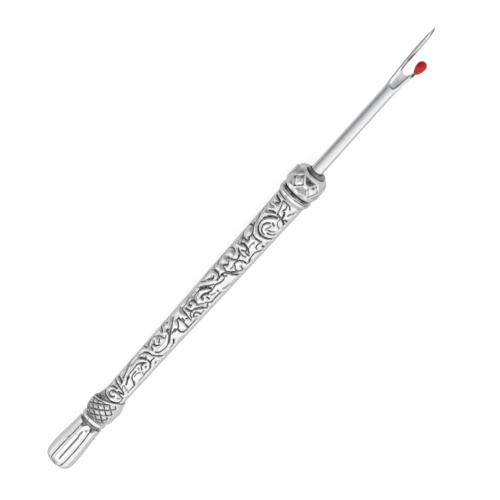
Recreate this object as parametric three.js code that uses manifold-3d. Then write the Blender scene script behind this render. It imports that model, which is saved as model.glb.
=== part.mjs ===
// Ornate seam ripper: a steel fork blade in a silver handle made of struck half shells and turned collars.
// The tool lies along +X, butt end at the rear and points at the front. Z is up, and the fork lies in XY.
// Millimetres throughout.
import * as THREE from 'three';
import { mergeVertices } from 'three/addons/utils/BufferGeometryUtils.js';
import Module from 'manifold-3d';

const wasm = await Module();
wasm.setup();

// ---- Driving dimensions ----
const SEGMENTS = 36;             // facets round every turned piece
const SWELL_STEPS = 8;           // stations along the swollen end of the sleeve
const SLIP = 0.05;               // radial play of a piece on its spigot, stud or tang
const SEAM_GAP = 0.04;           // solder line between the two half shells

const POMMEL_LENGTH = 12.9;
const POMMEL_CROWN_R = 3.6;      // fattest part of the butt
const POMMEL_CROWN_X = 3.9;      // how far the fattest part is from the butt end
const POMMEL_BLUNTNESS = 3.8;    // power of the rounded end: 2 is an ellipse, more is squarer
const POMMEL_FOOT_R = 3.05;      // where the butt meets its ring
const POMMEL_TAPER = [[0.3, 0.28], [0.6, 0.75]];  // crown to foot: share of the way along, and inwards
const FLUTE_R = 0.3;             // round cutter of the flutes
const FLUTE_LENGTH = 10.4;
const FLUTE_MIDDLE_X = 6.5;
const FLUTE_AXIS_R = 3.435;      // the cutter's own axis, from the handle's
const FLUTE_SPREAD = 28;         // degrees between neighbouring flutes
const FLUTES_PER_SIDE = 3;

const RING_BOSS_LENGTH = 0.9;    // narrow neck behind the ring, seen as a dark groove
const RING_BOSS_R = 2.9;
const RING_LENGTH = 0.9;
const RING_R = 3.13;
const RING_ROUNDING = 0.18;

const BULB_COVE_LENGTH = 0.6;
const BULB_COVE_R = 2.95;
const BULB_LENGTH = 7.6;         // cove included
const BULB_R = 3.76;
const BULB_WALL = 0.3;           // of the cup, closed down over the swollen end of the sleeve
const BULB_RIM_X = 5.95;         // front rim on the axis, from the bulb's rear face
const BULB_RIM_SLANT = 21;       // degrees the rim leans, longer on the -Y side
const BULB_FLOOR = 2.4;          // solid rear wall behind the sleeve's socket
const BULB_CROWN_X = 2.9;        // fattest part of the bulb, from its rear face

const SLEEVE_LENGTH = 63.8;      // free length, bulb lip to neck ring
const SLEEVE_REAR_R = 2.7;
const SLEEVE_FRONT_R = 3.68;
const SHELL_WALL = 0.55;

const NECK_LENGTH = 2.4;
const NECK_BAND_R = 3.8;         // low band behind the ring
const NECK_BAND_LENGTH = 0.72;
const NECK_BAND_ROUNDING = 0.15;
const NECK_BAND_STEP = 0.1;      // how far the band's rounded edges drop
const NECK_CREST_X = 1.4;        // top of the ring, from its rear face
const NECK_RING_R = 4.2;
const NECK_GROOVE_R = 3.6;       // dark groove against the ball
const BALL_LENGTH = 6.0;
const BALL_R = 4.47;
const BALL_MOUTH_R = 2.75;
const BALL_CREST_START = 1.8;    // straight middle of the ball, from its rear face
const BALL_CREST_END = 3.7;

const SPIGOT_R = 2.2;            // front end of the core, through the neck ring into the ball
const SPIGOT_IN_BALL = 2.1;
const FERRULE_R = 2.45;
const FERRULE_PROUD = 0.65;
const FERRULE_SHANK_R = 2.05;
const FERRULE_DEPTH = 1.6;
const FERRULE_CHAMFER = 0.325;
const FERRULE_PLAY = 0.15;       // open gap round the blade's shank

const STUD_R = 1.2;
const STUD_CHAMFER = 0.24;
const STUD_IN_POMMEL = 6.5;
const STUD_IN_CORE = 9.0;
const HOLE_END = 0.4;            // free space past the end of a stud or tang

const SHANK_R = 1.5;
const SHANK_LENGTH = 26.2;       // ferrule face to the fork
const TANG_R = 1.15;
const TANG_TIP_R = 0.7;
const TANG_LENGTH = 38.0;
const FLATTEN_LENGTH = 6.0;      // over which the rod turns into the fork plate
const FLATTEN_STEPS = 9;
const FORK_THICKNESS = 1.0;
const FORK_SQUARENESS = 7;       // power of the fork's section: 2 is an ellipse, more is squarer
const POINT_THICKNESS = 0.26;
const PRONG_LENGTH = 18.65;      // long prong, from the start of the fork
const PRONG_WIDTH = 1.1;
const PRONG_OUTER_Y = 2.15;      // widest place of the long prong
// Long prong's gap side and outer side: how far behind the point, and how far inside the straight prong
const PRONG_INNER_CURVE = [[5.3, 0], [2.7, 0.1], [0.8, 0.4], [0, 0.7]];
const PRONG_OUTER_CURVE = [
  [1.2, 0.2], [2.9, 0.07], [5.3, 0], [7.7, 0.02], [11.4, 0.18], [13.8, 0.32], [16.2, 0.49],
];
const SHORT_PRONG_LENGTH = 6.3;
const SHORT_PRONG_SPREAD_X = 2.8;  // where it has spread half way out
const SHORT_PRONG_OUTER_Y = 2.05;
const SHORT_PRONG_WIDTH = 0.75;
const GRIND_START = 1.0;         // front of the ground hollow, from the start of the fork
const EDGE_AT = 5.2;             // cutting edge, from the start of the fork
const EDGE_RUNOUT = 0.5;         // plan left for the hollow to cut, behind the edge
const GRIND_ROUNDING = 0.62;     // power of the hollow's plan: 1 is an ellipse, less is squarer
const PEG_R = 0.24;              // thin end of the short prong
const PEG_TAPER = 0.3;           // over which the prong narrows to the peg
const BEAD_R = 1.22;
const BEAD_LENGTH = 3.55;
const BEAD_NECK_R = 0.45;
const BEAD_TAPER = [[0.3, 0.3], [0.62, 0.76], [0.84, 0.96]];  // neck to crown: share along, and outwards
const BEAD_GAP = 0.95;           // bare peg between prong and bead
const PEG_IN_BEAD = 2.0;

// ---- Stations along the axis, from the butt end ----
const ringX = POMMEL_LENGTH;
const bulbX = ringX + RING_BOSS_LENGTH + RING_LENGTH;
const socketX = bulbX + BULB_FLOOR;
const sleeveX = bulbX + BULB_LENGTH;
const neckX = sleeveX + SLEEVE_LENGTH;
const ballX = neckX + NECK_LENGTH;
const mouthX = ballX + BALL_LENGTH;
const ferruleFaceX = mouthX + FERRULE_PROUD;
const shoulderX = ballX + SPIGOT_IN_BALL;
const forkX = ferruleFaceX + SHANK_LENGTH;
const tipX = forkX + PRONG_LENGTH;
const tangEndX = shoulderX - TANG_LENGTH;
const beadY = -(SHORT_PRONG_OUTER_Y - SHORT_PRONG_WIDTH / 4);
const beadX = forkX + SHORT_PRONG_LENGTH + BEAD_GAP;

// ---- Finishes ----
function finish(color, roughness, metalness) {
  return new THREE.MeshStandardMaterial({ color, roughness, metalness });
}
const antiquedSilver = finish(0xb9bab8, 0.32, 1.0);
const darkSilver = finish(0x7d7e7c, 0.4, 1.0);
const polishedSteel = finish(0xc6c8ca, 0.2, 1.0);
const redPlastic = finish(0xb3141a, 0.18, 0.0);
const settingResin = finish(0x4a3a2c, 0.8, 0.0);
const plainSteel = finish(0x9a9c9e, 0.35, 1.0);

// ---- Shape helpers ----

// Turns a closed outline of [x, radius] pairs round the X axis, with a flat facet facing straight down.
function turned(outline) {
  const points = outline.map(([x, radius]) => new THREE.Vector2(radius, x));
  const geometry = new THREE.LatheGeometry(points, SEGMENTS, Math.PI / SEGMENTS);
  return geometry.rotateZ(-Math.PI / 2);
}

// A tube or stepped collar: the outer outline from rear to front, then the bore from front to rear.
function turnedTube(outer, bore) {
  return turned([...outer, ...bore, outer[0]]);
}

function solid(geometry) {
  const plain = geometry.clone();
  plain.deleteAttribute('normal');
  plain.deleteAttribute('uv');
  const merged = mergeVertices(plain, 1e-5);
  const mesh = new wasm.Mesh({
    numProp: 3,
    vertProperties: Float32Array.from(merged.attributes.position.array),
    triVerts: Uint32Array.from(merged.index.array),
  });
  return new wasm.Manifold(mesh);
}

function geometryOf(body) {
  const { vertProperties, triVerts } = body.getMesh();
  const geometry = new THREE.BufferGeometry();
  geometry.setAttribute('position', new THREE.BufferAttribute(vertProperties, 3));
  geometry.setIndex(new THREE.BufferAttribute(triVerts, 1));
  geometry.computeVertexNormals();
  return geometry;
}

const blend = (x, from, to) => THREE.MathUtils.smoothstep(x, from, to);
const mix = THREE.MathUtils.lerp;

// Points of a quarter wave from one [x, radius] to the next, for coves and rounded lips.
function arc([x0, r0], [x1, r1], steps, bulge) {
  const points = [];
  for (let i = 1; i <= steps; i += 1) {
    const turn = (i / steps) * Math.PI / 2;
    const along = bulge ? Math.sin(turn) : 1 - Math.cos(turn);
    const up = bulge ? 1 - Math.cos(turn) : Math.sin(turn);
    points.push([mix(x0, x1, along), mix(r0, r1, up)]);
  }
  return points;
}

// Outside of the bulb: a rounded cove up to the crown, then a quarter wave down to the sleeve.
function bulbRadius(x) {
  const coveX = bulbX + BULB_COVE_LENGTH;
  const crownX = bulbX + BULB_CROWN_X;
  const up = THREE.MathUtils.clamp((x - coveX) / (crownX - coveX), 0, 1);
  const down = THREE.MathUtils.clamp((x - crownX) / (sleeveX - crownX), 0, 1);
  const crest = mix(BULB_COVE_R, BULB_R, Math.sqrt(1 - (1 - up) ** 2));
  return crest - (BULB_R - SLEEVE_REAR_R - BULB_WALL) * (1 - Math.cos(down * Math.PI)) / 2;
}

// Outside of the sleeve: a swollen rear end that the bulb closes over, then an even taper.
function sleeveRadius(x) {
  return x < sleeveX
    ? bulbRadius(x) - BULB_WALL
    : mix(SLEEVE_REAR_R, SLEEVE_FRONT_R, (x - sleeveX) / SLEEVE_LENGTH);
}

// [x, radius] pairs of a curve between two stations.
function traced(radiusAt, from, to, steps) {
  return Array.from({ length: steps + 1 }, (_, i) => {
    const x = mix(from, to, i / steps);
    return [x, radiusAt(x)];
  });
}

// ---- Handle ----

// Rounded butt end, from the axis to the crown.
function bluntEnd() {
  const steps = 10;
  return Array.from({ length: steps + 1 }, (_, i) => {
    const turn = (i / steps) * Math.PI / 2;
    const along = 1 - Math.cos(turn) ** (2 / POMMEL_BLUNTNESS);
    const up = Math.sin(turn) ** (2 / POMMEL_BLUNTNESS);
    return [POMMEL_CROWN_X * along, POMMEL_CROWN_R * up];
  });
}

function flutedPommel() {
  const hole = STUD_R + SLIP;
  const holeEnd = ringX - STUD_IN_POMMEL - HOLE_END;
  const outline = [
    ...bluntEnd(),
    ...POMMEL_TAPER.map(([along, inwards]) => [
      mix(POMMEL_CROWN_X, ringX, along),
      mix(POMMEL_CROWN_R, POMMEL_FOOT_R, inwards),
    ]),
    [ringX, POMMEL_FOOT_R],
    [ringX, hole],
    [holeEnd, hole],
    [holeEnd, 0],
  ];
  let body = solid(turned(outline));
  const cutter = new THREE.CapsuleGeometry(FLUTE_R, FLUTE_LENGTH, 3, 8).rotateZ(Math.PI / 2);
  for (const side of [0, 180]) {
    for (let i = 0; i < FLUTES_PER_SIDE; i += 1) {
      const turn = THREE.MathUtils.degToRad(side + (i - (FLUTES_PER_SIDE - 1) / 2) * FLUTE_SPREAD);
      const flute = cutter.clone();
      flute.translate(FLUTE_MIDDLE_X, 0, FLUTE_AXIS_R);
      body = body.subtract(solid(flute.rotateX(turn)));
    }
  }
  return geometryOf(body);
}

function pommelRing() {
  const bore = STUD_R + SLIP;
  const bodyX = ringX + RING_BOSS_LENGTH;
  return turnedTube([
    [ringX, RING_BOSS_R],
    [bodyX, RING_BOSS_R],
    [bodyX, RING_R - RING_ROUNDING],
    [bodyX + RING_ROUNDING, RING_R],
    [bulbX - RING_ROUNDING, RING_R],
    [bulbX, RING_R - RING_ROUNDING],
  ], [[bulbX, bore], [ringX, bore]]);
}

// The bulb is a cup, closed down over the sleeve's swollen rear end. Its rim leans across the handle.
function latticeBulb() {
  const coveX = bulbX + BULB_COVE_LENGTH;
  const crownX = bulbX + BULB_CROWN_X;
  const stud = STUD_R + SLIP;
  const outer = [
    [bulbX, BULB_COVE_R],
    ...traced(bulbRadius, coveX, crownX, 5),
    ...traced(bulbRadius, crownX, sleeveX, SWELL_STEPS).slice(1),
  ];
  const socket = traced((x) => sleeveRadius(x) + SLIP, socketX, sleeveX, SWELL_STEPS).reverse();
  socket[0][1] = SLEEVE_REAR_R + SLIP;
  const cup = solid(turnedTube(outer, [...socket, [socketX, stud], [bulbX, stud]]));
  const trim = new THREE.BoxGeometry(BULB_LENGTH, 4 * BULB_R, 4 * BULB_R);
  trim.translate(BULB_LENGTH / 2, 0, 0);
  trim.rotateZ(THREE.MathUtils.degToRad(BULB_RIM_SLANT));
  trim.translate(bulbX + BULB_RIM_X, 0, 0);
  return geometryOf(cup.subtract(solid(trim)));
}

// Two struck shells, split along the sides of the handle and soldered together.
function gripShell(side) {
  const outer = [...traced(sleeveRadius, socketX, sleeveX, SWELL_STEPS), [neckX, SLEEVE_FRONT_R]];
  const bore = outer.map(([x, radius]) => [x, radius - SHELL_WALL]).reverse();
  const tube = solid(turnedTube(outer, bore));
  const length = neckX - socketX;
  const away = new THREE.BoxGeometry(2 * length, 4 * BALL_R, 4 * BALL_R);
  away.translate((socketX + neckX) / 2, 0, -side * (2 * BALL_R - SEAM_GAP / 2));
  return geometryOf(tube.subtract(solid(away)));
}

// Resin core that fills the shells, holds the tang and carries the neck ring and ball on its spigot.
function settingCore() {
  const fit = (x) => sleeveRadius(x) - SHELL_WALL - SLIP;
  const stud = STUD_R + SLIP;
  const tang = TANG_R + SLIP;
  const studEnd = socketX + STUD_IN_CORE + HOLE_END;
  const tangEnd = tangEndX - HOLE_END;
  return turned([
    [studEnd, 0],
    [studEnd, stud],
    [socketX, stud],
    ...traced(fit, socketX, sleeveX, SWELL_STEPS),
    [neckX, fit(neckX)],
    [neckX, SPIGOT_R],
    [shoulderX, SPIGOT_R],
    [shoulderX, tang],
    [tangEnd, tang],
    [tangEnd, 0],
  ]);
}

function neckRing() {
  const bore = SPIGOT_R + SLIP;
  const bandEnd = neckX + NECK_BAND_LENGTH;
  const crest = neckX + NECK_CREST_X;
  const bandEdgeR = NECK_BAND_R - NECK_BAND_STEP;
  return turnedTube([
    [neckX, bandEdgeR],
    [neckX + NECK_BAND_ROUNDING, NECK_BAND_R],
    [bandEnd - NECK_BAND_ROUNDING, NECK_BAND_R],
    [bandEnd, bandEdgeR],
    ...arc([bandEnd, bandEdgeR], [crest, NECK_RING_R], 4, false),
    ...arc([crest, NECK_RING_R], [ballX, NECK_GROOVE_R], 4, true),
  ], [[ballX, bore], [neckX, bore]]);
}

function ballHead() {
  const spigot = SPIGOT_R + SLIP;
  const shank = SHANK_R + SLIP;
  const seat = FERRULE_SHANK_R + SLIP;
  const spigotEnd = shoulderX + SLIP;
  const seatX = mouthX - FERRULE_DEPTH - SLIP;
  return turnedTube([
    [ballX, NECK_GROOVE_R],
    ...arc([ballX, NECK_GROOVE_R], [ballX + BALL_CREST_START, BALL_R], 5, false),
    ...arc([ballX + BALL_CREST_END, BALL_R], [mouthX, BALL_MOUTH_R], 6, true),
  ], [
    [mouthX, seat], [seatX, seat], [seatX, shank], [spigotEnd, shank], [spigotEnd, spigot], [ballX, spigot],
  ]);
}

function mouthFerrule() {
  const bore = SHANK_R + FERRULE_PLAY;
  return turnedTube([
    [mouthX - FERRULE_DEPTH, FERRULE_SHANK_R],
    [mouthX, FERRULE_SHANK_R],
    [mouthX, FERRULE_R],
    [ferruleFaceX - FERRULE_CHAMFER, FERRULE_R],
    [ferruleFaceX, FERRULE_R - FERRULE_CHAMFER],
  ], [[ferruleFaceX, bore], [mouthX - FERRULE_DEPTH, bore]]);
}

function pommelStud() {
  const rear = ringX - STUD_IN_POMMEL;
  const front = socketX + STUD_IN_CORE;
  return turned([
    [rear, 0], [rear, STUD_R - STUD_CHAMFER], [rear + STUD_CHAMFER, STUD_R],
    [front - STUD_CHAMFER, STUD_R], [front, STUD_R - STUD_CHAMFER], [front, 0],
  ]);
}

// ---- Blade ----

// Half height of the blade at x: a round rod that is pressed flat and thins towards the point.
function halfThickness(x) {
  const pressed = blend(x, forkX - FLATTEN_LENGTH / 2, forkX + FLATTEN_LENGTH / 2);
  const plate = mix(SHANK_R, FORK_THICKNESS / 2, pressed);
  return x < forkX + SHORT_PRONG_LENGTH
    ? plate
    : mix(plate, POINT_THICKNESS / 2, (x - forkX - SHORT_PRONG_LENGTH) / (PRONG_LENGTH - SHORT_PRONG_LENGTH));
}

// Rod with its tang, pressed into a plate wider than the fork, so that the plan outline trims it.
function pressedRod() {
  const outline = [
    [tangEndX, 0], [tangEndX, TANG_TIP_R], [tangEndX + TANG_R, TANG_R],
    [shoulderX, TANG_R], [shoulderX, SHANK_R],
  ];
  const start = forkX - FLATTEN_LENGTH / 2;
  for (let i = 0; i <= FLATTEN_STEPS; i += 1) {
    outline.push([start + (i / FLATTEN_STEPS) * FLATTEN_LENGTH, SHANK_R]);
  }
  outline.push([forkX + SHORT_PRONG_LENGTH, SHANK_R], [tipX, SHANK_R], [tipX, 0]);
  const rod = turned(outline);
  const position = rod.attributes.position;
  for (let i = 0; i < position.count; i += 1) {
    const x = position.getX(i);
    const flat = blend(x, start, start + FLATTEN_LENGTH);
    const angle = Math.atan2(position.getZ(i), position.getY(i));
    const reach = Math.hypot(position.getY(i), position.getZ(i)) / SHANK_R;
    const power = 2 / mix(2, FORK_SQUARENESS, flat);
    const halfWidth = mix(SHANK_R, 2 * PRONG_OUTER_Y, flat);
    const lobe = (value) => Math.sign(value) * Math.abs(value) ** power;
    if (x > start) {
      position.setY(i, reach * halfWidth * lobe(Math.cos(angle)));
      position.setZ(i, reach * halfThickness(x) * lobe(Math.sin(angle)));
    }
  }
  return solid(rod);
}

// Plan of the blade: the rod, the long pointed prong on +Y and the short prong on -Y.
function forkPlan() {
  const at = (x, y) => new THREE.Vector2(x, y);
  const back = tangEndX - SHANK_R;
  const innerY = PRONG_OUTER_Y - PRONG_WIDTH;
  const shortInnerY = SHORT_PRONG_WIDTH - SHORT_PRONG_OUTER_Y;
  const shortEndX = forkX + SHORT_PRONG_LENGTH;
  const webX = forkX + EDGE_AT - EDGE_RUNOUT;
  const plan = new THREE.Shape();
  plan.moveTo(back, -SHANK_R);
  plan.lineTo(forkX, -SHANK_R);
  plan.splineThru([
    at(forkX + SHORT_PRONG_SPREAD_X, -(SHANK_R + SHORT_PRONG_OUTER_Y) / 2),
    at(shortEndX, -SHORT_PRONG_OUTER_Y),
  ]);
  plan.lineTo(shortEndX + PEG_TAPER, beadY - PEG_R);
  plan.lineTo(shortEndX + PEG_TAPER, beadY + PEG_R);
  plan.lineTo(shortEndX, shortInnerY);
  plan.lineTo(webX, shortInnerY);
  plan.lineTo(webX, innerY);
  plan.splineThru(PRONG_INNER_CURVE.map(([behind, inset]) => at(tipX - behind, innerY + inset)));
  plan.splineThru([
    ...PRONG_OUTER_CURVE.map(([behind, inset]) => at(tipX - behind, PRONG_OUTER_Y - inset)),
    at(forkX, SHANK_R),
  ]);
  plan.lineTo(back, SHANK_R);
  plan.closePath();
  const depth = 4 * SHANK_R;
  const prism = new THREE.ExtrudeGeometry(plan, { depth, bevelEnabled: false, curveSegments: 4 });
  return solid(prism.translate(0, 0, -depth / 2));
}

// Ground hollow between the prongs, tapering from both faces to the sharp edge in mid thickness.
function grindCutter() {
  const innerY = PRONG_OUTER_Y - PRONG_WIDTH;
  const shortInnerY = SHORT_PRONG_WIDTH - SHORT_PRONG_OUTER_Y;
  const halfGap = (innerY - shortInnerY) / 2;
  const middleY = (innerY + shortInnerY) / 2;
  const centre = forkX + PRONG_LENGTH / 2;
  const reachAtEdge = centre - forkX - EDGE_AT;
  const reachAtFace = centre - forkX - GRIND_START;
  const halfFace = FORK_THICKNESS / 2;
  const levels = [
    [-2 * halfFace, 2 * reachAtFace - reachAtEdge],
    [0, reachAtEdge],
    [2 * halfFace, 2 * reachAtFace - reachAtEdge],
  ];
  const outline = [[levels[0][0], 0], ...levels.map(([z]) => [z, 1]), [levels[2][0], 0]];
  const points = outline.map(([z, radius]) => new THREE.Vector2(radius, z));
  const cutter = new THREE.LatheGeometry(points, 40).rotateX(Math.PI / 2);
  const position = cutter.attributes.position;
  for (let i = 0; i < position.count; i += 1) {
    const z = position.getZ(i);
    const reach = mix(reachAtEdge, reachAtFace, Math.abs(z) / halfFace);
    const angle = Math.atan2(position.getY(i), position.getX(i));
    const radius = Math.hypot(position.getX(i), position.getY(i));
    const lobe = (value) => Math.sign(value) * Math.abs(value) ** GRIND_ROUNDING;
    position.setX(i, centre + radius * reach * lobe(Math.cos(angle)));
    position.setY(i, middleY + radius * halfGap * lobe(Math.sin(angle)));
  }
  return solid(cutter);
}

function forkBlade() {
  const peg = turned([
    [forkX + SHORT_PRONG_LENGTH - BEAD_GAP, 0],
    [forkX + SHORT_PRONG_LENGTH - BEAD_GAP, PEG_R],
    [beadX + PEG_IN_BEAD, PEG_R],
    [beadX + PEG_IN_BEAD, 0],
  ]).translate(0, beadY, 0);
  return geometryOf(pressedRod().intersect(forkPlan()).subtract(grindCutter()).add(solid(peg)));
}

function safetyBead() {
  const bore = PEG_R + SLIP;
  const crown = BEAD_LENGTH - BEAD_R;
  return turned([
    [PEG_IN_BEAD + SLIP, 0],
    [PEG_IN_BEAD + SLIP, bore],
    [0, bore],
    [0, BEAD_NECK_R],
    ...BEAD_TAPER.map(([along, outwards]) => [crown * along, mix(BEAD_NECK_R, BEAD_R, outwards)]),
    [crown, BEAD_R],
    ...arc([crown, BEAD_R], [BEAD_LENGTH, 0], 5, true),
  ]).translate(beadX, beadY, 0);
}

// ---- Assembly ----

const object = new THREE.Group();
// The middle of the length and the lowest facet of the ball are the origin.
object.position.set(-tipX / 2, 0, BALL_R * Math.cos(Math.PI / SEGMENTS));

function addPart(name, geometry, material) {
  const mesh = new THREE.Mesh(geometry, material);
  mesh.name = name;
  object.add(mesh);
}

addPart('fluted_pommel', flutedPommel(), antiquedSilver);
addPart('pommel_ring', pommelRing(), antiquedSilver);
addPart('lattice_bulb', latticeBulb(), antiquedSilver);
addPart('grip_front_shell', gripShell(1), antiquedSilver);
addPart('grip_back_shell', gripShell(-1), antiquedSilver);
addPart('setting_core', settingCore(), settingResin);
addPart('pommel_stud', pommelStud(), plainSteel);
addPart('neck_ring', neckRing(), antiquedSilver);
addPart('ball_head', ballHead(), antiquedSilver);
addPart('mouth_ferrule', mouthFerrule(), darkSilver);
addPart('fork_blade', forkBlade(), polishedSteel);
addPart('safety_bead', safetyBead(), redPlastic);

export default object;
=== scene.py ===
"""Looks of an ornate seam ripper: antiqued silver handle in relief, steel fork blade, red safety bead.

Shapes are worked out in millimetres, along x from the butt of the handle, y towards the long prong and z up,
from the tool's axis. `place` turns them into the frame's metres.
"""
import math

import bmesh
import bpy
import numpy as np
from mathutils import Matrix, Vector


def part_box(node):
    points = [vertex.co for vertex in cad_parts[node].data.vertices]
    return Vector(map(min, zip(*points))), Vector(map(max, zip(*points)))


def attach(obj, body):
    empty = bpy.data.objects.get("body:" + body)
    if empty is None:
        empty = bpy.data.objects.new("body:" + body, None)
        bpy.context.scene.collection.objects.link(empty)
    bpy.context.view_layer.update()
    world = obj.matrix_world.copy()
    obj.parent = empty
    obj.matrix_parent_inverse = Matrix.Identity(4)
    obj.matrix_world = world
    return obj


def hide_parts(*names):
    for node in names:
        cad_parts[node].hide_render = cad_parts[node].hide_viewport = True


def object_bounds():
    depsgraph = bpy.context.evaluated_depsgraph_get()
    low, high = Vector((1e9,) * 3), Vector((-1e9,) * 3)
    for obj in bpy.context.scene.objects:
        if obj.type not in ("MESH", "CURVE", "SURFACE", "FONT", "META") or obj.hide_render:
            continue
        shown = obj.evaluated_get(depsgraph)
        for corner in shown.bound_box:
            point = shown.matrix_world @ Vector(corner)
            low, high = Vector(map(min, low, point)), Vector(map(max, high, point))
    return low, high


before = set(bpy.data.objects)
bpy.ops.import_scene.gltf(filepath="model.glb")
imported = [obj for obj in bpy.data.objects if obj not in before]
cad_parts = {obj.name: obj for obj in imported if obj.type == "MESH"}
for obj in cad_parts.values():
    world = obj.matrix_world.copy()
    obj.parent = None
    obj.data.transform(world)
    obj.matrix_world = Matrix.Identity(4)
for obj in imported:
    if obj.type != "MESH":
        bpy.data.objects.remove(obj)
cad_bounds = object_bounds()

MM = 0.001
FACETS = 36  # of the CAD model's turned pieces
FACET = math.cos(math.pi / FACETS)  # its boxes reach only to the middle of a facet

BUTT = cad_bounds[0].x / MM
AXIS_Z = (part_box("ball_head")[0].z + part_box("ball_head")[1].z) / 2 / MM


def span(node):
    """First and last station of a CAD node along the tool, in mm from the butt."""
    low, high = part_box(node)
    return low.x / MM - BUTT, high.x / MM - BUTT


def girth(node):
    """Largest radius of a turned CAD node, in mm."""
    low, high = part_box(node)
    return (high.y - low.y) / 2 / MM / FACET


# Stations and radii of the handle, from the frame
POMMEL_FOOT = span("fluted_pommel")[1]
POMMEL_R = girth("fluted_pommel")
RING_END = span("pommel_ring")[1]
RING_R = girth("pommel_ring")
BULB_R = girth("lattice_bulb")
SHELL_START, NECK = span("grip_front_shell")
SLEEVE_R = girth("grip_front_shell")
NECK_END = span("neck_ring")[1]
NECK_R = girth("neck_ring")
MOUTH = span("ball_head")[1]
BALL_R = girth("ball_head") - 0.11  # less the ridges of its lozenges
FERRULE_START, FERRULE_FACE = span("mouth_ferrule")
FERRULE_R = girth("mouth_ferrule")
TANG_END, TIP = span("fork_blade")
BEAD_NECK, BEAD_END = span("safety_bead")
BEAD_R = girth("safety_bead")
BEAD_Y = (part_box("safety_bead")[0].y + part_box("safety_bead")[1].y) / 2 / MM

# Shape of each piece, in mm
FINE_PITCH = 0.105  # spacing of the mesh where there is relief
POMMEL_CROWN = 3.9
POMMEL_BLUNTNESS = 3.8
POMMEL_FOOT_R = 3.05
POMMEL_NECK = 0.9  # dark neck between butt and ring
COVE_END = RING_END + 0.6
COVE_R = 2.95
CROWN = RING_END + 2.9
LIP = RING_END + 7.6  # where the bulb's curve runs out on the sleeve
LIP_WALL = 0.3
SLEEVE_REAR_R = 2.7
RIM_AXIS = RING_END + 5.95  # slanting rim, where it crosses the axis
RIM_SLOPE = math.tan(math.radians(20))
RIM_BEND = 0.035  # and how it curls back on the long prong's side
SHELL_WALL = 0.55
SEAM = math.radians(0.4)  # half the solder line between the shells
STUD_BORE = 1.25
STUD_HOLE = 6.9  # its depth in the butt
SPIGOT_BORE = 2.25
FERRULE_BORE = 1.65
GROOVE_R = 3.6
BALL_MOUTH_R = 2.75
MERGE = 1e-4  # points closer than this become one

# Kinds of cut in the scroll relief, as width, depth and darkness
FINE = (0.19, 0.15, 0.8)
LINE = (0.26, 0.2, 1.0)
DEEP = (0.38, 0.25, 1.0)
BROAD = (0.55, 0.26, 1.0)
DOT = (0.6, 0.18, 0.9)
SHADE = (0.75, 0.06, 0.34)

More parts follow.
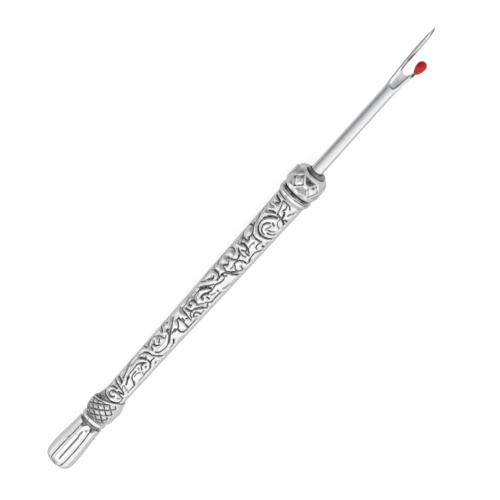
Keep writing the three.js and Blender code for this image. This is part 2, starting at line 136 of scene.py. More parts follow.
# The cuts, motif by motif: a kind, then the chosen points of each cut as (x, y) in mm, seen from above
ORNAMENT = [
    # rear curl
    (LINE, [(21.6, 2.8), (21.2, 2.1), (21, 0.9), (21, -0.2), (21.2, -1.2), (21.6, -1.9)],
     [(21.6, -1.9), (22.4, -2), (23.2, -1.9)], [(23.2, -1.7), (23.5, 0), (23.2, 1.3)],
     [(22.4, 0), (21.9, 0.5), (21.9, 1.2), (22.3, 1.6), (23, 1.5)],
     [(22.1, 2.8), (23.2, 2.4), (24, 1.7), (24.3, 0.8)], [(20.4, 3.2), (21.1, 3), (21.8, 2.8)]),
    (FINE, [(22.4, -0.9), (22.8, -1.4)], [(24.2, 1.9), (24.9, 1.9)]),
    (DEEP, [(19.3, 3.2), (19.3, 2.7), (19.8, 2.2)], [(19.8, 3.3), (19.9, 2.7), (20.5, 2.1)]),
    # crossed bands
    (DEEP, [(23.9, 0.1), (24, -0.7), (24.1, -1.4)]),
    (LINE, [(24.1, -1.4), (24.6, -0.9), (24.7, -0.3), (25, 0.8), (25.1, 1.8), (25.2, 2.7)],
     [(25.8, 0.8), (26.7, 1.1)]),
    (FINE, [(24.6, -0.6), (25.3, -0.1), (25.8, 0.2)], [(25.3, -1.5), (25.6, -0.7), (25.9, -0.1)]),
    (BROAD, [(26.3, 2.5), (26.4, 1.7), (26.1, 1)]),
    # long acanthus leaf
    (DEEP, [(27.2, 1.4), (27.9, 1.7), (29.2, 2.1), (30.3, 2.5), (31.3, 2.8), (32.3, 2.7)],
     [(33.4, 1.7), (34.1, 1), (34.3, 0.3)], [(26.5, -0.2), (27.5, 0.3), (28.2, 0.8)],
     [(25.2, -1.9), (26.4, -1.9), (27.4, -1.9), (28.1, -1.2)]),
    (FINE, [(32.3, 2.7), (33.6, 2.7)], [(31, 1.9), (32.5, 2), (33.4, 1.7)], [(28.2, 0.8), (29, 1)],
     [(29.3, -0.4), (30.3, -0.4), (31, -0.8)], [(31.3, -1.1), (31, -1.6)], [(31.5, 0.3), (31.3, -0.2)]),
    (BROAD, [(27.6, 0.4), (28.3, 0.6)], [(32.7, 0.6), (33.1, 0.2)]),
    (LINE, [(29.2, 1), (30.5, 1), (31.9, 1.1), (32.7, 0.8), (33.4, 0.2), (33.7, -0.3)],
     [(32.2, 0), (33.1, 0.2), (33.7, -0.3)], [(28.1, -1.2), (28.4, -0.5), (29.1, 0.1), (30.5, 0.2)]),
    # eye of the leaf
    (DOT, [(32.9, -0.9)]),
    (LINE, [(31.7, -0.7), (32.2, -0.1), (33, 0)],
     [(33.3, 2), (34.1, 2.1), (35.1, 1.8), (35.8, 1.1), (36.1, 0.3)],
     [(34.5, -1.1), (35.2, -0.9), (35.9, -1)], [(34.9, -2.1), (35.3, -1.9)]),
    (DEEP, [(30.7, -2), (31.7, -1.9), (32.9, -2), (33.8, -1.5), (34.4, -1), (34.5, -0.2)],
     [(34.1, -1.4), (34.5, -0.8)]),
    (FINE, [(34.7, 0.9), (34.7, 0.3)], [(29.3, -2.1), (30.2, -2.1)]),
    # open spiral
    (LINE, [(36, 0.1), (36.4, -0.7), (36.8, -1.3)], [(35.8, 2.8), (36.4, 2.1), (37, 1.9)],
     [(37.2, 0.6), (37.3, 1.2), (37.9, 1.5), (38.4, 1.6)], [(38.3, 1.4), (38.5, 0.7), (39.2, 0.2)],
     [(37.2, -0.2), (37.7, -0.9), (38.5, -1.2), (39.7, -1.4), (40.9, -1.2)], [(45.7, 1.9), (46.3, 2.2)],
     [(40.4, -2.3), (41.4, -2.2)], [(42.9, 2.5), (43.3, 2.9), (44.2, 2.9)]),
    (BROAD, [(36.8, -1.4), (37.3, -2.1)], [(40.9, -1.2), (41.7, -0.7), (42.7, 0), (43.4, 0.4)]),
    (FINE, [(37.3, -2.2), (38.7, -2.4)], [(38.5, 2.6), (39.1, 2.6)],
     [(39.6, 2.4), (40.4, 2), (41, 1.2), (41.2, 0.1)], [(40.2, 1.6), (40.9, 1.9)],
     [(41.4, 0.3), (42, 0.6)]),
    (DEEP, [(37, 2), (37.5, 2.4), (38.5, 2.6)], [(38.3, 1.5), (38.9, 1.8)], [(39.5, 0.7), (40.2, 1.2)],
     [(43.2, 0.3), (44.1, 0.8), (45, 1.4), (45.7, 1.9)], [(41.4, -2.2), (42.4, -1.5)],
     [(41.9, 1.8), (42.1, 2.3), (42.3, 2.9)], [(42.7, 0.2), (43, 1.4), (43.5, 1)]),
    (SHADE, [(37.6, -0.1), (39.1, 0.1), (40.8, 0)]),
    (DOT, [(44.2, 2.4)]),
    # ribbed lobes
    (LINE, [(43.4, -0.2), (44.7, 0)], [(44.2, -0.4), (45.4, -0.4), (46.1, 0.3), (46.4, 0.8)],
     [(47.1, 1.2), (47.3, 0), (47.1, -1.2)], [(47.7, 0.5), (47.7, -0.4)],
     [(49.5, 2), (49.1, 1.5), (49.1, 0.8)], [(49.1, 0.2), (48.9, -0.7), (48.7, -1.6)],
     [(48.3, -0.3), (48.7, -0.6)], [(50.5, 2.1), (51.7, 2.3), (52.3, 2.5)]),
    (DEEP, [(45, -0.7), (44.9, -1.5), (45.4, -2.1), (46.3, -2.3)], [(46.5, 1.2), (47.2, 1.2)],
     [(47.1, -1.2), (46.7, -2.3)], [(49.1, 1.2), (49.1, 0.2)], [(49.5, 2.1), (50.5, 2.1)]),
    (BROAD, [(45.2, -2.1), (46.2, -2.3)], [(46.9, -2.3), (48, -2.3), (49.5, -2.3)]),
    (FINE, [(52.3, 2.5), (53.3, 2.6), (54.3, 2.6)], [(52.5, 1.8), (53.2, 2.1)]),
    # pair of small curls
    (DEEP, [(51.5, 0.9), (51.2, 1.3), (51.5, 1.7), (52.3, 1.7)],
     [(49.8, -1.5), (50.2, -1.1), (50.7, -1), (51.2, -1.4), (51.2, -2.4)],
     [(53.5, -2.4), (54.1, -2), (54.7, -1.8)]),
    (BROAD, [(52.4, 1.7), (52.8, 1.2), (52.8, 0.7)], [(50.3, 0.4), (50.6, -0.2)],
     [(51.6, -0.4), (52.2, -0.9)], [(52.3, -1), (52.8, -1.6), (53.4, -2.4)]),
    (LINE, [(52.8, 0.7), (52.9, -0.5)], [(50.1, 1.5), (50.3, 0.5)], [(50.6, -0.2), (51.5, -0.3)],
     [(49.3, -1.3), (49.6, -0.6), (50.1, -0.2)], [(51.2, -2.4), (52.4, -2.3)]),
    (DOT, [(52.7, 0)], [(50.2, -1.9)]),
    (FINE, [(52.7, -0.9), (53.3, -1.5)]),
    # great middle curl
    (BROAD, [(54.6, -0.2), (54.6, 0.3)], [(54.7, 0.5), (55.4, 0.5), (56.2, 0.1), (56.5, -0.3)],
     [(54.7, 2), (55.7, 1.9), (56.8, 1.4), (57.6, 0.6), (57.9, 0.1)], [(56, 2.2), (57, 1.6), (57.9, 0.9)],
     [(55.1, -2.1), (55.3, -2.4)], [(55.8, -2.3), (57, -2.3), (58.3, -2.4)]),
    (FINE, [(56.5, -0.3), (56.1, -0.5)], [(53.2, -0.4), (53.9, -1.1), (54.7, -1.4)],
     [(53.2, 0.7), (53.9, 1.4), (55, 1.6)], [(56.6, -0.9), (57, -1.2), (57.7, -1.5)]),
    (DOT, [(54.8, -0.1)]),
    (DEEP, [(55.6, -1.3), (55.6, -0.6)]),
    (LINE, [(52.9, 1.2), (53.5, 1.8), (54.7, 2)], [(56.6, 0), (57.6, -0.4), (58, -0.3)],
     [(58.4, -1.4), (58.4, -1.9)]),
    # smooth leaf
    (FINE, [(57.8, 1.2), (58.6, 0.6), (59.2, 0.2)], [(61.5, -0.9), (62, -0.6)]),
    (LINE, [(58.4, -0.3), (59.5, -0.2), (60.7, -0.7), (61.7, -0.8)],
     [(56.9, 2.9), (57.9, 2.4), (58.9, 2.1)], [(56.9, 3), (58.6, 3), (60.2, 3.2)],
     [(60.9, 2.9), (61.6, 2.9), (62.2, 3.2)], [(62.4, 0.2), (62.2, -0.3), (62.8, -0.7)]),
    (DEEP, [(58.9, 2.1), (59.4, 1.7)], [(61.1, 0.5), (61.7, 1.1)],
     [(59.7, -2.3), (60.1, -2.5), (60.8, -2.6)]),
    (BROAD, [(59.5, 1.7), (59.9, 1.4), (60.4, 1.6)], [(61.5, 2.5), (61.8, 1.4)],
     [(60.5, 0.4), (61.3, 0.4)], [(62, 0.4), (62.5, 0.3)], [(63.7, -1.4), (64.1, -2.1), (64.5, -2.7)]),
    # heart
    (LINE, [(62.9, 0.3), (63.4, -0.6), (64.3, -1.4), (65, -2.2)],
     [(64, 1.8), (63.6, 0.9), (63.5, 0.1), (64.1, -0.8), (64.7, -1.5)],
     [(65, 0.9), (65.7, 1.3), (66.1, 1.7)], [(66, -2.7), (66.7, -1.8), (66.5, -1.7)],
     [(65.5, -1), (66.1, -0.3)], [(65.3, -1.1), (65.2, -1.5)], [(66.1, -0.1), (67.1, -0.2), (67.7, -0.6)],
     [(63.7, 3.1), (64.9, 3.2), (67.1, 3.3), (68.2, 3), (68.5, 2.4)]),
    (DEEP, [(64.1, 1.6), (64.5, 1.3), (65, 0.9)], [(65, -1.6), (65.4, -2.3), (66, -2.7)],
     [(67.6, -0.6), (68, -1.4), (67.9, -2.2)], [(63, 2.7), (63.7, 3.1)], [(68.6, 2.3), (68.3, 1.7)]),
    (BROAD, [(66.2, 1.8), (66.1, 2.2)]),
    (FINE, [(64.7, -0.2), (65.2, -0.4), (66.1, -0.1)], [(67.5, -1.2), (68, -1.6)]),
    # round lobe and slot
    (LINE, [(66.5, 1.4), (66.8, 0.7), (67.4, 0.1), (68.1, 0.1)], [(69.1, 0.3), (69, -0.5), (69.2, -1.1)],
     [(69.8, 0.8), (70.1, 0), (69.9, -0.6)], [(70.8, 2.1), (71.7, 2.3)], [(72.2, 2.8), (72.7, 3.3)],
     [(72.4, 2.4), (72.3, 1.7), (72.6, 1.1)], [(72.3, -1.9), (72.6, -1.4), (73.6, -1.3), (74.3, -1.5)]),
    (BROAD, [(68.3, 0.3), (68.9, 0.6), (69.2, 1.2)], [(70.7, 2), (71.2, 1.4), (71.2, 0.5), (71, -0.2)],
     [(70.5, -0.1), (71.1, -0.2)], [(71.8, 2.4), (72.2, 2.8)], [(72.9, 1.2), (73.3, 1.6)],
     [(68.4, -2.6), (69.5, -2.2)], [(71.7, -2.3), (72.5, -2.9)]),
    (DEEP, [(69.2, 1.2), (69.5, 1.7)], [(69.9, -0.7), (69.9, -1.5)], [(70.9, -0.4), (70.4, -1.1)],
     [(73.3, 1.6), (74.1, 1.5), (74.8, 1.7), (75.4, 2.2), (76, 2.7)], [(68, -2.5), (68.7, -2.6)],
     [(69.5, -2.2), (71, -2.1), (71.7, -2.3)], [(73.7, -2.3), (73.5, -2.9)]),
    (FINE, [(71.7, -0.2), (72.5, -0.1), (73.4, -0.3)], [(74.9, -2.7), (74.8, -2.9)]),
    # great front volute
    (BROAD, [(75.2, 3.4), (75.8, 2.8), (76.3, 2.7)], [(78.3, 3), (79.1, 3.3)],
     [(76.3, -2.9), (75.9, -2.2), (75.7, -1.2), (75.6, -0.1)], [(75.6, -0.1), (76, 0.9), (76.7, 1.6)],
     [(79.1, 2), (80.2, 1.4), (81, 0.5), (81.4, -0.4)], [(82.1, 0), (81.9, -0.9)],
     [(81.9, -0.9), (81.6, -2), (80.9, -2.8)], [(81.8, -1.4), (82.6, -1.4), (83.5, -0.9)],
     [(84.3, -2.8), (84.7, -2.8)]),
    (DEEP, [(76.5, 3), (76.1, 2.6)], [(76.2, 2.7), (77.2, 2.8), (78.3, 3)], [(79, 3.3), (80.5, 3.4)],
     [(74.2, 0.2), (74.3, -1.1), (74.4, -1.6)], [(76.7, 1.6), (77.9, 2), (79.1, 2)],
     [(77, -1.2), (77, -1.8)], [(79.7, -0.5), (79.4, -1.2)], [(81.7, 1.7), (82.1, 0.7)],
     [(83.3, -2.1), (84.1, -2.4)], [(82, -2.3), (81.9, -2.9)], [(83.6, 2.4), (84.4, 1.6)]),
    (FINE, [(80.5, 3.4), (82.2, 3.4)], [(77.6, -0.2), (78.3, -0.5), (79, -0.7)],
     [(79.5, -2.6), (79.9, -1.8), (80.7, -1.3), (81.4, -1.3)], [(82.3, 3.2), (82.5, 2.5), (82.9, 2.1)]),
    (LINE, [(74.8, 1.7), (74.4, 1.2), (74.2, 0)], [(76.3, -0.8), (76.5, 0.1), (77.1, 0.7), (78, 1)],
     [(78, 1), (78.8, 0.7), (79.4, 0)], [(77, -1.8), (77.3, -2.4), (77.5, -2.7)],
     [(77.7, -0.8), (77.8, -1.6), (78.2, -2.2)], [(81.2, 2.3), (81.7, 1.6)],
     [(82, 0), (82.7, 0.3), (83.7, 0.5)],
     [(83.7, 0.5), (84.6, 0.9), (85.3, 1.3), (85.6, 0.5), (85.5, -0.8)], [(84.8, -1.5), (85.4, -1)],
     [(83.7, -0.3), (84.4, -0.6), (85.2, -0.3)]),
    (DOT, [(77.7, -2.7)]),
    # front tips
    (BROAD, [(84.9, 3.3), (84.9, 2.5), (84.8, 1.7)], [(86.3, 3.2), (86.2, 2.2), (86.2, 1.2)]),
    (DEEP, [(86.3, -0.5), (86.2, -1.5)]),
    (FINE, [(86.2, 0.9), (86.2, -0.3)]),
    (LINE, [(86.1, -2.8), (86.4, -2.9)]),
]


def smooth(value, low, high):
    """0 below low, 1 above high, eased between."""
    t = np.clip((value - low) / (high - low), 0, 1)
    return t * t * (3 - 2 * t)


def past(angle, low, high):
    """The same for an angle, between limits in degrees."""
    return smooth(angle, math.radians(low), math.radians(high))


def bell(distance, width):
    """1 at distance 0, falling off smoothly over width."""
    return np.exp(-(distance / width) ** 2)


def radius_of(points):
    """Distance from the tool's axis."""
    return np.hypot(points[:, 1], points[:, 2])


def bulb_radius(x):
    """Radius of the bulb: a quarter ellipse up to its crown, a half wave down to the sleeve."""
    up = np.clip((x - COVE_END) / (CROWN - COVE_END), 0, 1)
    down = np.clip((x - CROWN) / (LIP - CROWN), 0, 1)
    crest = COVE_R + (BULB_R - COVE_R) * np.sqrt(1 - (1 - up) ** 2)
    return crest - (BULB_R - SLEEVE_REAR_R - LIP_WALL) * (1 - np.cos(down * np.pi)) / 2


def sleeve_radius(x):
    """Radius of the sleeve: under the bulb as far as its lip, then an even taper to the neck."""
    taper = SLEEVE_REAR_R + (SLEEVE_R - SLEEVE_REAR_R) * (x - LIP) / (NECK - LIP)
    return np.where(x < LIP, bulb_radius(x) - LIP_WALL, taper)


def rim_at(y):
    """Station of the bulb's slanting front rim at y."""
    return RIM_AXIS - RIM_SLOPE * y - RIM_BEND * np.maximum(y, 0) ** 2


# ---- Turning a piece ----

def traced(radius_at, start, end, pitch=FINE_PITCH):
    """(x, radius) pairs of a curve between two stations, a pitch apart."""
    steps = max(1, round((end - start) / pitch))
    stations = np.linspace(start, end, steps + 1)
    return list(zip(stations, np.atleast_1d(radius_at(stations)) + 0 * stations))


def quarter(start, end, steps, level_first):
    """A quarter ellipse from one (x, radius) point to another, level at its start or at its end."""
    turn = np.linspace(0, math.pi / 2, steps + 1)[1:]
    along = np.sin(turn) if level_first else 1 - np.cos(turn)
    up = 1 - np.cos(turn) if level_first else np.sin(turn)
    return list(zip(start[0] + (end[0] - start[0]) * along, start[1] + (end[1] - start[1]) * up))


def turned(outline, steps, start=0.0, sweep=2 * math.pi, closed=True):
    """Spins an outline of (x, radius) round the tool's axis, from angle start, + towards the long prong.

    An outline that isn't closed starts and ends on the axis.
    """
    bm = bmesh.new()
    out = Vector((0, math.sin(start), math.cos(start)))
    ring = [bm.verts.new(Vector((float(x), 0, 0)) + float(radius) * out) for x, radius in outline]
    pairs = list(zip(ring, ring[1:] + ring[:1])) if closed else list(zip(ring, ring[1:]))
    edges = [bm.edges.new(pair) for pair in pairs]
    whole = sweep == 2 * math.pi
    bmesh.ops.spin(bm, geom=ring + edges, cent=(0, 0, 0), axis=(-1, 0, 0), angle=sweep,
                   steps=steps, use_merge=whole)
    if not whole:
        rim = [edge for edge in bm.edges if edge.is_boundary]
        bmesh.ops.holes_fill(bm, edges=rim, sides=0)
    bmesh.ops.remove_doubles(bm, verts=bm.verts, dist=MERGE)
    bmesh.ops.recalc_face_normals(bm, faces=bm.faces)
    return bm


def angle_of(points):
    """Angle round the axis, 0 straight up and + towards the long prong."""
    return np.arctan2(points[:, 1], points[:, 2])


def face_angle(points):
    """The same angle on the front of the tool; the back is the front turned half way round."""
    angle = angle_of(points)
    return np.where(np.abs(angle) > math.pi / 2, angle - np.sign(angle) * math.pi, angle)


def place(node, bm, material, relief=None, crease=40):
    """Makes the piece that stands for a CAD node. relief moves its points and gives their darkness, which is
    oxide in places and painted shade in others.
    """
    mesh = bpy.data.meshes.new(node)
    bm.to_mesh(mesh)
    bm.free()
    points = np.empty(len(mesh.vertices) * 3)
    mesh.vertices.foreach_get("co", points)
    points = points.reshape(-1, 3)
    patina_and_shade = np.zeros(len(points))
    if relief:
        points, patina_and_shade = relief(points)
    points = (points + (BUTT, 0, AXIS_Z)) * MM
    mesh.vertices.foreach_set("co", points.ravel())
    # darkness per point: oxide, and painted shade and shadow on the fork and ahead of the bulb's rim
    darkening = mesh.attributes.new("patina_and_shade", "FLOAT", "POINT")
    darkening.data.foreach_set("value", patina_and_shade.astype(np.float32))
    mesh.update()
    mesh.shade_smooth()
    mesh.set_sharp_from_angle(angle=math.radians(crease))
    mesh.materials.append(material)
    piece = bpy.data.objects.new(node, mesh)
    bpy.context.scene.collection.objects.link(piece)
    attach(piece, "root")
    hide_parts(node)


def push(points, height):
    """Moves points out from the tool's axis by height."""
    radius = radius_of(points)
    scale = (radius + height) / np.maximum(radius, 1e-6)
    return np.column_stack([points[:, 0], points[:, 1] * scale, points[:, 2] * scale])


# ---- Scroll relief of the sleeve ----

def curve_through(points, per_span=5):
    """A smooth line through the chosen points (Catmull-Rom)."""
    points = np.array(points, float)
    if len(points) < 3:
        return points
    ends = np.vstack([2 * points[0] - points[1], points, 2 * points[-1] - points[-2]])
    line = []
    for a, b, c, d in zip(ends, ends[1:], ends[2:], ends[3:]):
        for t in np.arange(per_span) / per_span:
            line.append(0.5 * (2 * b + (c - a) * t + (2 * a - 5 * b + 4 * c - d) * t * t
                               + (3 * b - a - 3 * c + d) * t ** 3))
    return np.array(line + [points[-1]])


def distance_to(line, spots):
    """Distance from each spot to a line of joined points."""
    if len(line) == 1:
        return np.hypot(*(spots - line[0]).T)
    nearest = np.full(len(spots), 1e9)
    for a, b in zip(line, line[1:]):
        along = b - a
        t = np.clip((spots - a) @ along / max(along @ along, 1e-12), 0, 1)
        gap = spots - a - t[:, None] * along
        nearest = np.minimum(nearest, np.hypot(gap[:, 0], gap[:, 1]))
    return nearest


STEEPEST = 0.98  # share of the radius that a cut's y may reach
REACH = 1.5  # how far from a cut the metal still rounds over
LAND = 0.06  # height of the metal left between the cuts
ROUNDING = 0.17  # how far it rounds down towards a cut
ROUNDING_WIDTH = 0.62
BLOOM = 0.22  # darkness of the grey bloom beside a cut
BLOOM_WIDTH = 0.34
PLAIN_BAND = (78, 86)  # degrees where the relief runs out into the plain side bands
RIM_SHADE = 0.5  # darkness of the sleeve just ahead of the bulb's slanting rim
RIM_JOINT_AND_SHADOW = 0.9  # and of the joint under the rim, with the painted shadow of the bulb's edge on the sleeve


def cut_line(chosen):
    """The smooth line of one cut, unrolled on the sleeve."""
    plan = np.array(chosen, float)
    local = sleeve_radius(plan[:, 0])
    plan[:, 1] = local * np.arcsin(np.clip(plan[:, 1] / local, -STEEPEST, STEEPEST))
    return curve_through(plan)


def joint_stain(angle):
    """Darkness of the joint between sleeve and neck, greater on the long prong's side."""
    return 0.35 + 0.6 * (angle > math.radians(14))


def scroll_relief(points):
    """Cuts the ornament in the sleeve's outer wall, and darkens its cuts and the joints at its ends, with
    painted shadow and shade on the sleeve just ahead of the bulb's rim.
    """
    x = points[:, 0]
    base = sleeve_radius(x)
    outside = np.flatnonzero(radius_of(points) > base - SHELL_WALL / 2)
    angle = face_angle(points[outside])
    x, base = x[outside], base[outside]
    spots = np.column_stack([x, base * angle])
    cut, round_over, dark = np.zeros((3, len(outside)))
    for (width, depth, darkening), *cuts in ORNAMENT:
        for line in map(cut_line, cuts):
            low, high = line.min(0) - REACH, line.max(0) + REACH
            near = np.flatnonzero(((spots > low) & (spots < high)).all(1))
            away = distance_to(line, spots[near])
            flank = 1 - smooth(away, 0.1 * width, 0.6 * width + 0.08)
            stained = darkening * (1 - smooth(away, 0.25 * width, 0.5 * width + 0.1))
            bloom = BLOOM * min(1, darkening * 1.3) * bell(away, BLOOM_WIDTH)
            cut[near] = np.maximum(cut[near], depth * flank)
            round_over[near] = np.maximum(round_over[near], bell(away, ROUNDING_WIDTH))
            dark[near] = np.maximum(dark[near], np.maximum(stained, bloom))
    height = LAND - cut - ROUNDING * round_over
    height = height * (1 - past(np.abs(angle), *PLAIN_BAND))
    ends = smooth(x, SHELL_START, SHELL_START + 0.6) * (1 - smooth(x, NECK - 0.5, NECK - 0.1))
    height = height * ends
    rim = x - rim_at(base * np.sin(angle_of(points[outside])))
    shaded = past(angle, 16, 30) * (1 - smooth(rim, 1.0, 2.0))
    dark = np.maximum(dark, RIM_SHADE * shaded)
    # painted shadow of the bulb's edge on the sleeve, over the joint under the rim
    dark = np.maximum(dark, RIM_JOINT_AND_SHADOW * (1 - smooth(rim, 0.1, 0.4)))
    joint = smooth(x, NECK - 0.3, NECK - 0.08) * joint_stain(angle)
    dark = np.maximum(dark, joint * (1 - past(np.abs(angle), 65, 75)))
    moved = points.copy()
    moved[outside] = push(points[outside], height)
    patina_and_shade = np.zeros(len(points))
    patina_and_shade[outside] = dark
    return moved, patina_and_shade


def grip_shell(name, middle):
    """One struck half of the sleeve, with its inner wall; middle is the angle it faces."""
    outer = traced(sleeve_radius, SHELL_START, NECK)
    bore = [(NECK, SLEEVE_R - SHELL_WALL), (LIP, SLEEVE_REAR_R - SHELL_WALL),
            (SHELL_START, float(sleeve_radius(np.array(SHELL_START))) - SHELL_WALL)]
    steps = round(math.pi * SLEEVE_R / FINE_PITCH * 0.86)
    bm = turned(outer + bore, steps, middle - math.pi / 2 + SEAM, math.pi - 2 * SEAM)
    place(name, bm, antiqued_silver, scroll_relief)


# ---- Butt, ring and bulb ----

FLUTES = [  # each as (x, y) points along it, then its darkness
    ([(0.9, 1.55), (2.0, 1.82), (7.5, 1.78), (9.6, 1.62), (12.4, 1.6)], 0.9),
    ([(2.4, -0.12), (9.3, -0.12), (9.7, 0.08), (10.8, 0.05)], 0.62),
    ([(0.9, -1.48), (2.2, -1.84), (7.0, -1.86), (10.0, -1.68), (12.8, -1.40)], 0.95),
]
FLUTE_WIDTH = 0.16
FLUTE_DEPTH = 0.26
FLUTE_FALL = 0.15  # how far the metal beside a flute rounds down to it
LEAF_TURN = math.radians(26)  # half the turn from one leaf tip to the next at the butt's foot
LEAF_LENGTH = 0.6
FOOT_CUT = 0.2
POMMEL_SPOTS = (  # oxide left elsewhere: station, angle, size, darkness
    (0.9, 3, 0.75, 0.5),
    (11.6, -9, 0.4, 0.75),
    (12.2, -33, 0.35, 0.8),
)


def add_spots(dark, spots, x, angle, radius):
    """Adds round spots of oxide, each given as station, angle in degrees, size and darkness."""
    for station, turn, size, darkening in spots:
        away = np.hypot(x - station, (angle - math.radians(turn)) * radius)
        dark = np.maximum(dark, darkening * bell(away, size))
    return dark


def pommel_radius(x):
    """Radius of the butt: a blunt dome, then a slow fall to its foot."""
    along = np.clip(x / POMMEL_CROWN, 0, 1)
    dome = POMMEL_R * (1 - (1 - along) ** POMMEL_BLUNTNESS) ** (1 / POMMEL_BLUNTNESS)
    fall = np.clip((x - POMMEL_CROWN) / (POMMEL_FOOT - POMMEL_CROWN), 0, 1)
    return dome - (POMMEL_R - POMMEL_FOOT_R) * (0.35 * fall + 0.65 * (1 - np.cos(fall * np.pi)) / 2)


def flute_relief(points):
    """Cuts the flutes and the leaf tips at the foot of the butt."""
    x = points[:, 0]
    radius = radius_of(points)
    angle = face_angle(points)
    outer = smooth(radius, STUD_BORE + 0.05, STUD_BORE + 0.3)
    height, dark = np.zeros((2, len(points)))
    for plan, darkening in FLUTES:
        stations, off_axis = np.array(plan).T
        turn = np.arcsin(np.clip(np.interp(x, stations, off_axis) / np.maximum(radius, 1.8), -1, 1))
        away = np.abs(angle - turn) * radius
        length = smooth(x, stations[0] - 0.4, stations[0] + 0.3)
        length = length * (1 - smooth(x, stations[-1] - 0.2, stations[-1] + 0.4))
        height -= length * (FLUTE_DEPTH * bell(away, FLUTE_WIDTH) + FLUTE_FALL * bell(away, 0.6))
        dark = np.maximum(dark, length * darkening * (1 - smooth(away, 0.07, 0.24)))
        dark = np.maximum(dark, length * 0.2 * bell(away, 0.5))
    reach = 1 - past(np.abs(angle), 46, 54)
    leaf_tips = POMMEL_FOOT - 0.75 + LEAF_LENGTH * np.cos(angle * math.pi / LEAF_TURN + 0.5)
    foot = smooth(x, leaf_tips + 0.15, leaf_tips + 0.5) * reach * (x < POMMEL_FOOT + 0.01)
    height -= FOOT_CUT * foot
    dark = np.maximum(dark, 0.85 * foot)
    dark = add_spots(dark, POMMEL_SPOTS, x, angle, np.maximum(radius, 1.5))
    return push(points, height * outer), dark * outer


def fluted_pommel():
    """The butt, with the blind hole for its stud."""
    turn = np.linspace(0, math.pi / 2, 40)
    dome = list(zip(POMMEL_CROWN * (1 - np.cos(turn) ** (2 / POMMEL_BLUNTNESS)),
                    POMMEL_R * np.sin(turn) ** (2 / POMMEL_BLUNTNESS)))
    hole_end = POMMEL_FOOT - STUD_HOLE
    outline = dome + traced(pommel_radius, POMMEL_CROWN, POMMEL_FOOT)[1:]
    outline += [(POMMEL_FOOT, STUD_BORE), (hole_end, STUD_BORE), (hole_end, 0)]
    bm = turned(outline, 200, closed=False)
    place("fluted_pommel", bm, antiqued_silver, flute_relief)


def pommel_ring():
    """The collar between butt and bulb, with the dark neck behind it."""
    body = POMMEL_FOOT + POMMEL_NECK
    neck_r = 2.75
    lip = 0.3
    outline = [(POMMEL_FOOT, neck_r), (POMMEL_FOOT + 0.1, neck_r), (body - 0.15, neck_r)]
    outline += quarter((body - 0.15, neck_r), (body + lip, RING_R), 8, False)
    outline += quarter((RING_END - lip, RING_R), (RING_END, RING_R - 0.25), 8, True)
    outline += [(RING_END, STUD_BORE), (POMMEL_FOOT, STUD_BORE)]

    def darkening(points):
        """Oxide in the neck, heavy in front and light at the sides."""
        front = np.cos(face_angle(points)) > 0.42
        low = 1 - smooth(radius_of(points), 2.8, 3.05)
        return points, low * np.where(front, 0.86, 0.3)

    bm = turned(outline, 120)
    place("pommel_ring", bm, antiqued_silver, darkening)


LATTICE = 1.65  # length of a diamond along the tool
LATTICE_TURN = math.radians(35.5)  # and its height round the bulb
LATTICE_PHASE = (0.117, 0.525)
LINE_GAP = 0.8 * LATTICE  # from one line to the next, square across them
LATTICE_CUT = 0.18
DIAMOND_RISE = 0.14
BULB_RIDGE = 0.12  # raised edge along the rim
BULB_LEAN = 0.35  # how far the crown leans forward, per mm towards the short prong


def lean_bulb(x, radius, outer, true_angle):
    """Leans crown and rim of the plain turned bulb. Gives new stations and radii, and the rim's station."""
    edge = rim_at(BULB_R * 0.95 * np.sin(true_angle))
    lean = np.clip((x - COVE_END) / (RIM_AXIS - COVE_END), 0, None)
    x = np.where(x > COVE_END, COVE_END + lean * (edge - COVE_END), x)
    wall = np.where(outer, 0.0, LIP_WALL - 0.05)
    follow = (x > SHELL_START) | (outer & (x > COVE_END))
    swell = -BULB_LEAN * np.minimum(np.sin(true_angle), 0) * BULB_R
    swell = swell * smooth(lean, 0, 0.5) * (1 - smooth(lean, 0.6, 1))
    radius = np.where(follow, bulb_radius(np.maximum(x - swell, COVE_END)) - wall, radius)
    return x, radius, edge


def bulb_relief(points):
    """Leans crown and rim, then cuts the crossed lines of the lattice between cove and rim."""
    x = points[:, 0]
    radius = radius_of(points)
    outer = radius > np.where(x > SHELL_START, bulb_radius(x) - LIP_WALL * 0.6, STUD_BORE + 0.3)
    angle = face_angle(points)
    x, radius, edge = lean_bulb(x, radius, outer, angle_of(points))
    first = x / LATTICE + angle / LATTICE_TURN - LATTICE_PHASE[0]
    second = x / LATTICE - angle / LATTICE_TURN - LATTICE_PHASE[1]
    to_line = np.minimum(np.abs(first - np.round(first)), np.abs(second - np.round(second))) * LINE_GAP
    rim = edge - x
    field = smooth(rim, 0.45, 0.6) * smooth(x, COVE_END - 0.5, COVE_END + 0.1)
    field = field * past(angle, -49, -42) * (angle < math.radians(72))
    line = 1 - smooth(to_line, 0.03, 0.2)
    height = field * (-LATTICE_CUT * line + DIAMOND_RISE * smooth(to_line, 0.05, 0.55))
    rear = 1 - smooth(x, COVE_END + 0.8, COVE_END + 2.2)
    dark = field * np.maximum(0.92 * (1 - smooth(to_line, 0.08, 0.22)), 0.16 + 0.3 * rear)
    ridge = bell(rim - 0.2, 0.17)
    gutter = bell(rim - 0.5, 0.13) * past(angle, 5, 25) * (angle < math.radians(75))
    height = height + BULB_RIDGE * ridge - BULB_RIDGE * gutter
    dark = np.maximum(dark, 0.85 * gutter)
    front = past(angle, -50, -42) * (1 - past(angle, 55, 68))
    cove = (1 - smooth(x, COVE_END + 0.1, COVE_END + 0.7)) * front
    dark = np.maximum(dark, 0.62 * cove)
    height = np.where(outer & (x > RING_END + 0.05), height, 0)
    scale = (radius + height) / radius_of(points)
    moved = np.column_stack([x, points[:, 1] * scale, points[:, 2] * scale])
    return moved, np.where(outer, dark, 0.6)


